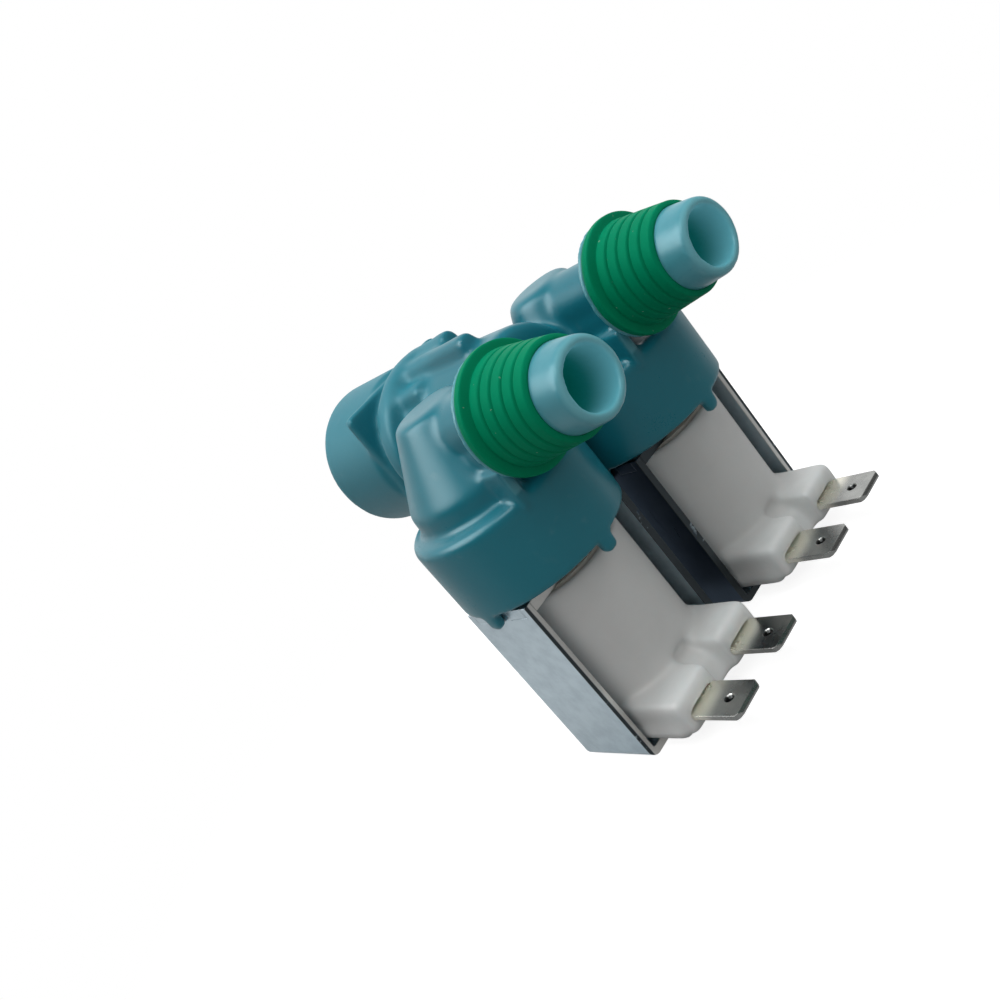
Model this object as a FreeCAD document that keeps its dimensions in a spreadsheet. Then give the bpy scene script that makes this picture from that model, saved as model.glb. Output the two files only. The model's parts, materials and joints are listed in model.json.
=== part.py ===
"""Twin solenoid water inlet valve of a washing machine.

Frame: the origin is the centre of the inlet's open end, +X runs through the
inlet towards the outlets, +Y from the left valve to the right one, +Z up from
the solenoids to the outlets.
"""
import FreeCAD, Part
import math
import os
import Sketcher

# Driving dimensions in millimetres: name, value, what it is
DIMENSIONS = [
    ("pitch", 30.0, "between the two valve axes"),
    ("axis_reach", 42.4, "inlet face to the valve axes, along X"),
    ("outlet_rise", 4.6, "outlet axes above the inlet axis"),
    ("inlet_radius", 12.2, "outside of the inlet spigot"),
    ("inlet_bore", 9.4, "strainer bore of the inlet"),
    ("inlet_length", 15.6, "inlet spigot up to the key plate"),
    ("mouth_edge", 0.9, "rounding of the inlet's mouth"),
    ("inlet_foot_edge", 0.5, "rounding of the inlet at the key plate"),
    ("passage_radius", 6.0, "water passage behind the flow washer"),
    ("key_half", 11.5, "half the width of the square key plate"),
    ("key_thick", 1.8, "key plate along X"),
    ("key_corner", 1.2, "corner radius of the key plate"),
    ("neck_radius", 11.0, "neck between key plate and ring"),
    ("ring_gap", 3.2, "key plate to the ring"),
    ("ring_radius", 13.2, "mounting ring"),
    ("ring_width", 4.0, "mounting ring along X"),
    ("ring_foot_edge", 0.6, "fillet at the back of the ring"),
    ("ring_back_edge", 1.2, "rounding of the ring's back edge"),
    ("ring_front_edge", 1.5, "rounding of the ring's front edge"),
    ("ring_fall", 1.2, "length of the slope in front of the ring"),
    ("ring_step", 0.9, "foot of that slope above the cross chamber"),
    ("ring_step_edge", 1.0, "fillet at the foot of that slope"),
    ("core_radius", 9.8, "cross chamber between the two valves"),
    ("core_nose", 4.6, "cross chamber past the valve axes"),
    ("core_edge", 2.0, "rounding of the cross chamber's end"),
    ("channel_radius", 2.8, "channel from the cross chamber into each valve"),
    ("channel_drop", 4.2, "channel axis below the inlet axis"),
    ("drum_radius", 14.1, "outside of a valve drum"),
    ("drum_drop", 16.8, "drum rim below the inlet axis"),
    ("drum_height", 12.4, "drum rim up to the shoulder"),
    ("drum_bore", 12.0, "bore that holds the diaphragm"),
    ("drum_edge", 1.5, "rounding of the drum's upper edge"),
    ("seat_depth", 4.4, "drum rim up to the diaphragm's ledge"),
    ("seat_rise", 1.0, "main seat above the ledge"),
    ("seat_wall", 1.4, "wall of the main seat tube"),
    ("chamber_radius", 9.6, "annular chamber around the seat tube"),
    ("chamber_top", 1.8, "annular chamber's top below the inlet axis"),
    ("chamber_edge", 1.0, "fillets in the top of the annular chamber"),
    ("hood_foot", 11.3, "hood radius at its foot"),
    ("hood_skirt", 3.1, "straight foot of the hood above the shoulder"),
    ("hood_flare", 1.05, "widening of the hood's foot into the shoulder"),
    ("hood_foot_edge", 1.0, "fillet at the hood's foot"),
    ("hood_bend", 2.0, "bend between the hood's foot and its cone"),
    ("hood_sink", 1.0, "hood's start below the shoulder"),
    ("hood_crown", 5.05, "hood radius at its crown"),
    ("hood_top", 9.7, "hood crown above the inlet axis"),
    ("hood_edge", 1.2, "rounding of the left hood's crown"),
    ("hood_lean", 1.6, "right hood's axis behind its valve axis"),
    ("hood_soft_edge", 2.0, "rounding of the right hood's crown"),
    ("collar_radius", 4.9, "outlet between hood and stop disc"),
    ("disc_radius", 8.6, "stop disc behind the sleeve"),
    ("disc_thick", 1.0, "stop disc along X"),
    ("disc_edge", 0.3, "rounding of the stop disc"),
    ("disc_fillet", 0.5, "fillet behind the stop disc"),
    ("disc_reach", 15.2, "stop disc's front face from the valve axis"),
    ("spigot_radius", 5.8, "outside of the outlet spigot"),
    ("spigot_bore", 4.0, "bore of the outlet spigot"),
    ("spigot_tip", 5.3, "outlet spigot at its tip"),
    ("spigot_reach", 31.4, "outlet end from the valve axis"),
    ("spigot_edge", 0.6, "rounding of the outlet end"),
    ("gusset_offset", 4.2, "gusset plane from the outlet axis"),
    ("gusset_thick", 1.9, "gusset thickness"),
    ("gusset_reach", 12.2, "gusset end from the valve axis"),
    ("gusset_sink", 0.5, "gusset's start below the shoulder"),
    ("nib_width", 2.5, "locating nib along the rim"),
    ("nib_drop", 2.3, "locating nib below the rim"),
    ("nib_thick", 1.5, "locating nib, radially"),
    ("nib_corner", 0.8, "rounding of a nib's lower corners"),
    ("nib_inset", 0.05, "nib behind the drum's outside"),
    ("nib_root", 0.5, "nib's start above the rim"),
    ("tall_rib_top", 13.4, "top of the right stiffening rib"),
    ("tall_rib_end", 33.6, "end of the right stiffening rib"),
    ("tall_rib_place", 2.3, "right stiffening rib from the middle"),
    ("long_rib_top", 12.8, "top of the left stiffening rib"),
    ("long_rib_end", 42.0, "end of the left stiffening rib"),
    ("long_rib_place", -1.6, "left stiffening rib from the middle"),
    ("low_rib_top", 10.4, "top of the short stiffening rib"),
    ("low_rib_end", 31.0, "end of the short stiffening rib"),
    ("low_rib_place", -5.6, "short stiffening rib from the middle"),
    ("web_rib_top", 12.2, "top of the web between the two stiffening ribs"),
    ("web_rib_end", 33.0, "end of that web"),
    ("web_rib_place", 0.35, "that web from the middle"),
    ("rib_fall", 0.3, "fall of a stiffening rib towards the ring"),
    ("rib_start", 1.0, "rib's start inside the ring"),
    ("rib_width", 3.4, "stiffening rib thickness"),
    ("sleeve_flange", 8.8, "sleeve flange radius"),
    ("sleeve_flange_thick", 2.0, "sleeve flange along X"),
    ("sleeve_root", 7.7, "first rib of the sleeve, radius"),
    ("sleeve_nose", 6.5, "last rib of the sleeve, radius"),
    ("sleeve_length", 11.6, "sleeve along X"),
    ("sleeve_groove", 0.45, "depth of the grooves between the ribs"),
    ("sleeve_flange_edge", 0.5, "rounding of the flange's back edge"),
    ("sleeve_front_edge", 0.7, "rounding of the flange's front edge"),
    ("sleeve_rib_edge", 0.35, "rounding of a rib"),
    ("sleeve_lip", 0.25, "thickness of the sleeve's front lip"),
    ("sleeve_ribs", 5, "ribs in front of the flange"),
    ("strip_width", 13.7, "bracket strip along X"),
    ("strip_thick", 1.2, "bracket sheet thickness"),
    ("bracket_half", 12.5, "valve axis to a leg's outer face"),
    ("bracket_drop", 46.8, "bracket base below the inlet axis"),
    ("bend_radius", 0.4, "inside radius of the bracket's bends"),
    ("leg_gap", 0.3, "bracket leg to the drum rim"),
    ("yoke_thick", 1.6, "yoke plate thickness"),
    ("tenon_width", 3.4, "tenon of the yoke plate along X"),
    ("tenon_offset", 3.9, "tenon from the valve axis, along X"),
    ("coil_radius", 10.8, "outside of the moulded coil"),
    ("coil_wall", 1.5, "moulding around the winding"),
    ("coil_gap", 0.1, "coil to yoke plate and bracket base"),
    ("coil_edge", 0.4, "rounding of the moulded coil's top"),
    ("bobbin_bore", 6.0, "bore of the bobbin"),
    ("bobbin_wall", 0.8, "bobbin wall"),
    ("bobbin_flange", 1.2, "bobbin flange thickness"),
    ("block_reach", 16.0, "terminal block front from the valve axis"),
    ("block_half", 10.3, "half the width of the terminal block"),
    ("block_lift", 1.1, "underside of the terminal block above the coil's"),
    ("block_height", 5.8, "terminal block height"),
    ("block_edge", 0.9, "rounding of the terminal block"),
    ("block_chamfer", 1.0, "trimmed side of the block's front"),
    ("block_draft", 0.3, "slope of the block's front corners"),
    ("block_root", 2.0, "block's buried end from the valve axis"),
    ("notch_half", 1.9, "half the width of the notch between the posts"),
    ("notch_depth", 3.0, "depth of that notch"),
    ("notch_web", 0.6, "wall left between the coil room and the notch"),
    ("notch_step", 0.7, "notch below the block's top, at the coil"),
    ("notch_drop", 2.2, "notch below the block's top, in front"),
    ("notch_edge", 1.5, "rounding of the notch's bend"),
    ("notch_foot", 0.6, "notch behind the block's front, at the bottom"),
    ("lobe_radius", 1.7, "round lobe beside the terminal block"),
    ("lobe_inset", 1.2, "lobe's axis inside the block's side"),
    ("lobe_back", 4.6, "lobe's back from the valve axis"),
    ("lobe_length", 9.0, "lobe along X"),
    ("tab_width", 6.3, "blade terminal width"),
    ("tab_thick", 0.8, "blade terminal thickness"),
    ("tab_reach", 24.2, "blade terminal tip from the valve axis"),
    ("tab_root", 10.6, "blade terminal's buried end from the valve axis"),
    ("tab_offset", 5.9, "blade terminal from the valve axis, along Y"),
    ("tab_rise", 2.3, "blade terminal above the block's underside"),
    ("tab_hole", 0.8, "radius of the blade's latch dimple"),
    ("tab_hole_depth", 0.45, "depth of that dimple"),
    ("tab_corner", 0.9, "trimmed corner of the blade's tip"),
    ("tab_bevel", 0.25, "depth of the bevel at the blade's tip"),
    ("tab_hole_inset", 3.5, "latch dimple from the blade's tip"),
    ("guide_bore", 4.05, "bore of the armature guide"),
    ("guide_wall", 0.85, "wall of the armature guide"),
    ("guide_recess", 1.5, "pilot chamber depth in the guide's flange"),
    ("tail_radius", 2.4, "tail pin of the guide"),
    ("plunger_clearance", 0.05, "plunger in its guide, radially"),
    ("plunger_rest", 2.9, "plunger's upper end below the diaphragm's ledge at rest"),
    ("plunger_spare", 0.3, "room under the plunger at full stroke"),
    ("guide_floor", 1.2, "closed end of the guide"),
    ("spring_room", 9.0, "depth of the plunger's spring pocket"),
    ("plunger_travel", 2.4, "plunger stroke"),
    ("spring_wire", 0.25, "spring wire radius"),
    ("spring_radius", 1.6, "spring mean radius"),
    ("spring_turns", 8, "turns of the spring"),
    ("fit_gap", 0.05, "clearance of pieces that are slid together"),
    ("film", 0.8, "diaphragm web thickness"),
    ("web_drop", 1.5, "diaphragm web below its ledge"),
    ("bead_thick", 2.2, "clamped rim of the diaphragm"),
    ("pilot_drop", 2.1, "pilot nipple below the diaphragm's ledge"),
    ("pilot_gap", 0.05, "plunger seal to the pilot nipple"),
    ("seal_radius", 2.2, "plunger seal radius"),
    ("seal_depth", 1.4, "plunger seal inside the plunger"),
    ("seal_taper", 0.5, "taper of the seal's tip"),
    ("pilot_radius", 0.6, "pilot hole in the diaphragm insert"),
    ("pilot_nipple", 1.2, "outside of the pilot nipple"),
    ("pilot_flare", 0.4, "widening of the nipple's foot"),
    ("pilot_step", 0.5, "height of the nipple"),
    ("bleed_radius", 0.4, "bleed hole in the diaphragm insert"),
    ("insert_plate", 1.0, "plate of the diaphragm insert"),
    ("insert_stem", 2.6, "stem radius of the diaphragm insert"),
    ("insert_lip", 0.3, "insert's plate past the seat tube"),
    ("bleed_inset", 0.6, "bleed holes inside the seat tube's outside"),
    ("strainer_length", 10.5, "strainer along X"),
    ("strainer_gap", 1.6, "strainer to the flow washer"),
    ("strainer_inset", 1.2, "strainer behind the inlet face"),
    ("strainer_wall", 0.7, "wall of the strainer's cup"),
    ("strainer_slope", 1.7, "strainer's cup inside its mouth ring, radially"),
    ("strainer_ring", 1.6, "strainer's mouth ring along X"),
    ("strainer_floor", 0.9, "bottom of the strainer's cup"),
    ("strainer_taper", 0.7, "taper of the strainer's cup, radially"),
    ("strainer_pin", 3.6, "grip pin inside the strainer's bottom, along X"),
    ("strainer_pin_tip", 1.0, "radius of that pin's tip"),
    ("strainer_pin_draft", 0.4, "widening of the pin to its foot"),
    ("strainer_edge", 0.5, "rounding of the strainer's bottom edge"),
    ("strainer_land", 1.0, "plain wall between the mouth ring and the slots"),
    ("strainer_core", 2.5, "inner end of a slot from the inlet axis"),
    ("strainer_slots", 12, "slots round the strainer"),
    ("strainer_slot_width", 1.1, "slot of the strainer"),
    ("washer_thick", 2.0, "flow washer along X"),
    ("washer_radius", 7.0, "flow washer radius"),
    ("washer_hole", 1.7, "flow washer bore"),
    ("washer_chamfer", 0.6, "chamfer of the flow washer's bore, radially"),
    ("washer_chamfer_length", 0.8, "that chamfer along X"),
    ("seat_rim", 1.0, "rim of that seat round the flow washer"),
    ("seat_hole", 1.6, "radius of the hole in the middle of that seat"),
    ("seat_floor", 1.2, "floor of the flow washer's seat"),
    ("seat_port", 1.0, "radius of a port in the seat's floor"),
    ("seat_port_circle", 3.9, "radius of the circle of ports"),
    ("seat_ports", 6, "ports in the seat's floor"),
]

doc = FreeCAD.newDocument("inlet_valve")
sheet = doc.addObject("Spreadsheet::Sheet", "sizes")
for row, (name, value, meaning) in enumerate(DIMENSIONS, start=1):
    sheet.set(f"A{row}", meaning)
    sheet.set(f"B{row}", str(value))
    sheet.setAlias(f"B{row}", name)
doc.recompute()


class Size:
    """A length that knows its value and the expression that gives it."""

    def __init__(self, value, text):
        self.value = float(value)
        self.text = text

    @staticmethod
    def of(other):
        return other if isinstance(other, Size) else Size(other, repr(float(other)))

    def _join(self, sign, other, value):
        return Size(value, f"({self.text} {sign} {other.text})")

    def __add__(self, other):
        other = Size.of(other)
        return self._join("+", other, self.value + other.value)

    def __radd__(self, other):
        return Size.of(other) + self

    def __sub__(self, other):
        other = Size.of(other)
        return self._join("-", other, self.value - other.value)

    def __rsub__(self, other):
        return Size.of(other) - self

    def __mul__(self, other):
        other = Size.of(other)
        return self._join("*", other, self.value * other.value)

    def __rmul__(self, other):
        return Size.of(other) * self

    def __truediv__(self, other):
        other = Size.of(other)
        return self._join("/", other, self.value / other.value)

    def __neg__(self):
        return Size(-self.value, f"(0 - {self.text})")


def size(name):
    """The driving dimension of that name."""
    return Size(sheet.get(name), f"sizes.{name}")


def bind(feature, prop, amount):
    """Tie a property of a feature to a size."""
    feature.setExpression(prop, Size.of(amount).text)


# Sketch planes: the body's origin plane for each name
PLANES = {"XY": "XY_Plane", "XZ": "XZ_Plane", "YZ": "YZ_Plane"}


def new_body(label, at=(0, 0, 0)):
    """A body of its own, placed in the row's frame."""
    body = doc.addObject("PartDesign::Body", label)
    body.Label = label
    for axis, amount in zip("xyz", at):
        bind(body, f"Placement.Base.{axis}", amount)
    return body


def new_sketch(body, plane, name, offset=(0, 0, 0)):
    """A sketch on one of the body's own planes, moved by the offset in that plane's axes."""
    sketch = body.newObject("Sketcher::SketchObject", name)
    role = PLANES[plane]
    support = [item for item in body.Origin.OriginFeatures if item.Role == role][0]
    sketch.AttachmentSupport = [(support, "")]
    sketch.MapMode = "FlatFace"
    for axis, amount in zip("xyz", offset):
        bind(sketch, f"AttachmentOffset.Base.{axis}", amount)
    return sketch


def constrain(sketch, kind, first, first_end, second, second_end, amount):
    """A driving dimension between two sketch points, tied to a size."""
    amount = Size.of(amount)
    constraint = Sketcher.Constraint(kind, first, first_end, second, second_end, amount.value)
    index = sketch.addConstraint(constraint)
    sketch.setExpression(f"Constraints[{index}]", amount.text)


def vector(x, y):
    return FreeCAD.Vector(x, y, 0)


def corner_trim(before, corner, after, radius):
    """Where an arc of that radius leaves the two sides of a corner, and its centre."""
    to_before = (before - corner).normalize()
    to_after = (after - corner).normalize()
    half = math.acos(max(-1.0, min(1.0, to_before.dot(to_after)))) / 2
    run = radius / math.tan(half)
    bisector = (to_before + to_after).normalize()
    centre = corner + bisector * (radius / math.sin(half))
    return corner + to_before * run, corner + to_after * run, centre


def outline(sketch, points):
    """A closed outline. Each point is (x, y) or (x, y, corner radius), in sizes or numbers."""
    corners = [vector(Size.of(p[0]).value, Size.of(p[1]).value) for p in points]
    radii = [Size.of(p[2]) if len(p) > 2 else None for p in points]
    count = len(points)
    starts = []
    ends = []
    for i in range(count):
        corner = corners[i]
        if radii[i] is None:
            starts.append(corner)
            ends.append(corner)
            continue
        enter, leave, centre = corner_trim(corners[i - 1], corner, corners[(i + 1) % count], radii[i].value)
        starts.append(enter)
        ends.append(leave)
    lines = []
    for i in range(count):
        segment = Part.LineSegment(ends[i], starts[(i + 1) % count])
        lines.append(sketch.addGeometry(segment, False))
    for i in range(count):
        previous = lines[i - 1]
        following = lines[i]
        if radii[i] is None:
            sketch.addConstraint(Sketcher.Constraint("Coincident", previous, 2, following, 1))
            constrain(sketch, "DistanceX", -1, 1, following, 1, points[i][0])
            constrain(sketch, "DistanceY", -1, 1, following, 1, points[i][1])
            continue
        round_corner(sketch, corners[i - 1], corners[i], corners[(i + 1) % count],
                     previous, following, radii[i], points[i])


def round_corner(sketch, before, corner, after, previous, following, radius, point):
    """An arc between two sides, with the corner itself kept as a construction point."""
    enter, leave, centre = corner_trim(before, corner, after, radius.value)
    turn = (corner - before).cross(after - corner).z
    start_angle = math.atan2(enter.y - centre.y, enter.x - centre.x)
    end_angle = math.atan2(leave.y - centre.y, leave.x - centre.x)
    circle = Part.Circle(centre, FreeCAD.Vector(0, 0, 1), radius.value)
    if turn > 0:
        arc = sketch.addGeometry(Part.ArcOfCircle(circle, start_angle, end_angle), False)
        arc_in, arc_out = 1, 2
    else:
        arc = sketch.addGeometry(Part.ArcOfCircle(circle, end_angle, start_angle), False)
        arc_in, arc_out = 2, 1
    sketch.addConstraint(Sketcher.Constraint("Tangent", previous, 2, arc, arc_in))
    sketch.addConstraint(Sketcher.Constraint("Tangent", following, 1, arc, arc_out))
    rounding = sketch.addConstraint(Sketcher.Constraint("Radius", arc, radius.value))
    sketch.setExpression(f"Constraints[{rounding}]", radius.text)
    mark = sketch.addGeometry(Part.Point(corner), True)
    sketch.addConstraint(Sketcher.Constraint("PointOnObject", mark, 1, previous))
    sketch.addConstraint(Sketcher.Constraint("PointOnObject", mark, 1, following))
    constrain(sketch, "DistanceX", -1, 1, mark, 1, point[0])
    constrain(sketch, "DistanceY", -1, 1, mark, 1, point[1])


def ring_outline(sketch, radius, x=0, y=0):
    """A circle in the sketch."""
    radius = Size.of(radius)
    middle = vector(Size.of(x).value, Size.of(y).value)
    circle = sketch.addGeometry(Part.Circle(middle, FreeCAD.Vector(0, 0, 1), radius.value), False)
    constrain(sketch, "DistanceX", -1, 1, circle, 3, x)
    constrain(sketch, "DistanceY", -1, 1, circle, 3, y)
    index = sketch.addConstraint(Sketcher.Constraint("Radius", circle, radius.value))
    sketch.setExpression(f"Constraints[{index}]", radius.text)


def spin(body, kind, sketch, axis, name):
    """A full turn of a sketch about one of its own axes; kind is Revolution or Groove."""
    feature = body.newObject(f"PartDesign::{kind}", name)
    feature.Profile = sketch
    feature.ReferenceAxis = (sketch, [axis])
    feature.Angle = 360
    return feature


def turned(body, plane, points, axis, name, offset=(0, 0, 0)):
    sketch = new_sketch(body, plane, f"{name}_profile", offset)
    outline(sketch, points)
    return spin(body, "Revolution", sketch, axis, name)


def turned_out(body, plane, points, axis, name, offset=(0, 0, 0)):
    sketch = new_sketch(body, plane, f"{name}_profile", offset)
    outline(sketch, points)
    return spin(body, "Groove", sketch, axis, name)


def pad(body, sketch, length, name, both_ways=False, backwards=False):
    feature = body.newObject("PartDesign::Pad", name)
    feature.Profile = sketch
    feature.Midplane = both_ways
    feature.Reversed = backwards
    bind(feature, "Length", length)
    return feature


def pocket(body, sketch, length, name, both_ways=False, backwards=False):
    feature = body.newObject("PartDesign::Pocket", name)
    feature.Profile = sketch
    feature.Midplane = both_ways
    feature.Reversed = backwards
    bind(feature, "Length", length)
    return feature


def block(body, plane, points, length, name, offset=(0, 0, 0), **ways):
    sketch = new_sketch(body, plane, f"{name}_profile", offset)
    outline(sketch, points)
    return pad(body, sketch, length, name, **ways)


def cut(body, plane, points, length, name, offset=(0, 0, 0), **ways):
    sketch = new_sketch(body, plane, f"{name}_profile", offset)
    outline(sketch, points)
    return pocket(body, sketch, length, name, **ways)


def drill(body, plane, radius, length, name, offset=(0, 0, 0), **ways):
    sketch = new_sketch(body, plane, f"{name}_profile", offset)
    ring_outline(sketch, radius)
    return pocket(body, sketch, length, name, **ways)


def around(body, feature, count, name, role="Z_Axis"):
    """Copies of a feature turned about one of the body's origin axes."""
    pattern = body.newObject("PartDesign::PolarPattern", name)
    pattern.Originals = [feature]
    axis = [item for item in body.Origin.OriginFeatures if item.Role == role][0]
    pattern.Axis = (axis, [""])
    pattern.Angle = 360
    pattern.Occurrences = count
    body.Tip = pattern
    return pattern


def rounded(body, radius, name, wanted):
    """Round every edge of the body so far that the test picks."""
    doc.recompute()
    base = body.Tip
    edges = [f"Edge{i}" for i, edge in enumerate(base.Shape.Edges, start=1) if wanted(edge)]
    feature = body.newObject("PartDesign::Fillet", name)
    feature.Base = (base, edges)
    bind(feature, "Radius", radius)
    return feature


# Sizes that several pieces share
bracket_inner = size("bracket_half") - size("strip_thick")
half_pitch = size("pitch") / 2
axis_x = size("axis_reach")
outlet_z = size("outlet_rise")
rim_z = -size("drum_drop")
shoulder_z = rim_z + size("drum_height")
ledge_z = rim_z + size("seat_depth")
seat_z = ledge_z + size("seat_rise")
leg_top_z = rim_z - size("leg_gap")
yoke_top_z = leg_top_z
yoke_low_z = yoke_top_z - size("yoke_thick")
base_z = -size("bracket_drop")
base_top_z = base_z + size("strip_thick")
coil_top_z = yoke_low_z - size("coil_gap")
coil_low_z = base_top_z + size("coil_gap")
guide_radius = size("guide_bore") + size("guide_wall")
seat_radius = size("spigot_bore") + size("seat_wall")
block_low_z = coil_low_z + size("block_lift")
tab_z = block_low_z + size("tab_rise")
guide_floor_z = coil_low_z + size("guide_floor")
plunger_top_z = ledge_z - size("plunger_rest")
plunger_low_z = guide_floor_z + size("plunger_spare") + size("plunger_travel")
spring_top_z = plunger_low_z + size("spring_room")
pilot_z = ledge_z - size("pilot_drop")
web_under_z = ledge_z - size("web_drop") - size("film")
strainer_end_x = size("strainer_inset") + size("strainer_length")
washer_back_x = strainer_end_x + size("strainer_gap")
washer_front_x = washer_back_x + size("washer_thick")
washer_seat_x = washer_front_x + size("seat_floor")
SIDES = {"left": -1, "right": 1}


def valve_place(side):
    """Where the valve axis of one side crosses the inlet's level."""
    return (axis_x, half_pitch * SIDES[side], 0)


def make_valve_body():
    """One moulding: inlet, cross chamber, two drums with hoods, two outlets."""
    body = new_body("valve_body")
    key_x = size("inlet_length")
    neck_x = key_x + size("key_thick")
    ring_x = neck_x + size("ring_gap")
    ring_end = ring_x + size("ring_width")
    core_end = axis_x + size("core_nose")
    turned(body, "XZ", [
        (0, 0),
        (0, size("inlet_radius"), size("mouth_edge")),
        (key_x, size("inlet_radius"), size("inlet_foot_edge")),
        (key_x, size("neck_radius")),
        (ring_x, size("neck_radius"), size("ring_foot_edge")),
        (ring_x, size("ring_radius"), size("ring_back_edge")),
        (ring_end, size("ring_radius"), size("ring_front_edge")),
        (ring_end + size("ring_fall"), size("core_radius") + size("ring_step"), size("ring_step_edge")),
        (core_end, size("core_radius"), size("core_edge")),
        (core_end, 0),
    ], "H_Axis", "inlet_and_core")
    half = size("key_half")
    corner = size("key_corner")
    block(body, "YZ", [
        (-half, -half, corner), (half, -half, corner), (half, half, corner), (-half, half, corner),
    ], size("key_thick"), "key_plate", offset=(0, 0, key_x))
    for side, sign in SIDES.items():
        add_drum(body, side, sign)
    for rib in ("tall", "long", "web", "low"):
        add_rib(body, rib, ring_x + size("rib_start"))
    for side, sign in SIDES.items():
        add_outlet(body, side, sign)
        add_nibs(body, side, sign)
    for side, sign in SIDES.items():
        hollow_drum(body, side, sign)
    hollow_inlet(body)
    return body


def drum_offset(sign):
    """Sketch offset on the XZ plane, whose normal is -Y, to the valve axis of one side."""
    return (axis_x, 0, half_pitch * -sign)


def outlet_offset(sign):
    """Sketch offset to where the outlet axis of one side meets the valve axis."""
    return (axis_x, outlet_z, half_pitch * -sign)


def add_rib(body, rib, start):
    """A stiffening rib on top, from the ring along the cross chamber, with a round back."""
    top = size(f"{rib}_rib_top")
    end = size(f"{rib}_rib_end")
    place = size(f"{rib}_rib_place")
    wide = size("rib_width") / 2
    sections = []
    for name, along, back in (("ring", start, top - size("rib_fall")), ("nose", end, top)):
        section = new_sketch(body, "YZ", f"{rib}_rib_{name}", (0, 0, along))
        outline(section, [
            (place - wide, 0), (place + wide, 0),
            (place + wide, back, wide * 0.9), (place - wide, back, wide * 0.9),
        ])
        sections.append(section)
    rib_loft = body.newObject("PartDesign::AdditiveLoft", f"{rib}_rib")
    rib_loft.Profile = sections[0]
    rib_loft.Sections = sections[1:]
    rib_loft.Ruled = True


def add_drum(body, side, sign):
    """A drum with its hood, turned about the valve axis; the right hood stands a little back."""
    turned(body, "XZ", [
        (0, rim_z),
        (size("drum_radius"), rim_z),
        (size("drum_radius"), shoulder_z, size("drum_edge")),
        (0, shoulder_z),
    ], "V_Axis", f"{side}_drum", drum_offset(sign))
    lean = size("hood_lean") if sign > 0 else 0
    edge = size("hood_soft_edge") if sign > 0 else size("hood_edge")
    foot = size("hood_foot") - lean
    foot_top = shoulder_z + size("hood_skirt")
    turned(body, "XZ", [
        (0, shoulder_z - size("hood_sink")),
        (foot, shoulder_z - size("hood_sink")),
        (foot + size("hood_flare"), shoulder_z),
        (foot, shoulder_z, size("hood_foot_edge")),
        (foot, foot_top, size("hood_bend")),
        (size("hood_crown"), size("hood_top"), edge),
        (0, size("hood_top")),
    ], "V_Axis", f"{side}_hood", (axis_x - lean, 0, half_pitch * -sign))


def add_outlet(body, side, sign):
    disc_front = size("disc_reach")
    disc_back = disc_front - size("disc_thick")
    turned(body, "XZ", [
        (0, 0),
        (0, size("collar_radius")),
        (disc_back, size("collar_radius"), size("disc_fillet")),
        (disc_back, size("disc_radius"), size("disc_edge")),
        (disc_front, size("disc_radius"), size("disc_edge")),
        (disc_front, size("spigot_radius")),
        (disc_front + size("sleeve_length"), size("spigot_radius")),
        (size("spigot_reach"), size("spigot_tip"), size("spigot_edge")),
        (size("spigot_reach"), 0),
    ], "H_Axis", f"{side}_outlet", outlet_offset(sign))
    for index, across in enumerate((-size("gusset_offset"), size("gusset_offset"))):
        block(body, "XZ", [
            (size("hood_crown"), shoulder_z - size("gusset_sink")),
            (size("gusset_reach"), shoulder_z - size("gusset_sink")),
            (size("gusset_reach"), outlet_z - size("collar_radius") * 0.4),
            (size("hood_crown"), outlet_z - size("collar_radius") * 0.4),
        ], size("gusset_thick"), f"{side}_gusset_{index}",
            offset=(axis_x, 0, half_pitch * -sign + across), both_ways=True)


def add_nibs(body, side, sign):
    """Four locating nibs below the drum rim, a quarter turn apart."""
    wide = size("nib_width") / 2
    outer = size("drum_radius") - size("nib_inset")
    inner = outer - size("nib_thick")
    low = rim_z - size("nib_drop")
    high = rim_z + size("nib_root")
    corner = size("nib_corner")
    middle_y = half_pitch * sign
    for name, at in (("front", 1), ("back", -1)):
        block(body, "YZ", [
            (middle_y - wide, high), (middle_y - wide, low, corner),
            (middle_y + wide, low, corner), (middle_y + wide, high),
        ], size("nib_thick"), f"{side}_{name}_nib",
            offset=(0, 0, axis_x + inner if at > 0 else axis_x - outer))
    for name, at in (("inner", -1), ("outer", 1)):
        across = half_pitch * -sign + (-outer if at > 0 else inner)
        block(body, "XZ", [
            (axis_x - wide, high), (axis_x - wide, low, corner),
            (axis_x + wide, low, corner), (axis_x + wide, high),
        ], size("nib_thick"), f"{side}_{name}_nib", offset=(0, 0, across))


def hollow_drum(body, side, sign):
    """Diaphragm bore, annular chamber, main seat tube and the bore up to the outlet."""
    turned_out(body, "XZ", [
        (0, rim_z - 4.0),
        (size("drum_bore"), rim_z - 4.0),
        (size("drum_bore"), ledge_z),
        (size("chamber_radius"), ledge_z),
        (size("chamber_radius"), -size("chamber_top"), size("chamber_edge")),
        (seat_radius, -size("chamber_top"), size("chamber_edge")),
        (seat_radius, seat_z),
        (size("spigot_bore"), seat_z),
        (size("spigot_bore"), outlet_z),
        (0, outlet_z),
    ], "V_Axis", f"{side}_chamber", drum_offset(sign))
    turned_out(body, "XZ", [
        (0, 0),
        (0, size("spigot_bore")),
        (size("spigot_reach"), size("spigot_bore")),
        (size("spigot_reach") + 1.0, size("spigot_bore") + 0.6),
        (size("spigot_reach") + 1.0, 0),
    ], "H_Axis", f"{side}_waterway", outlet_offset(sign))


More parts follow.
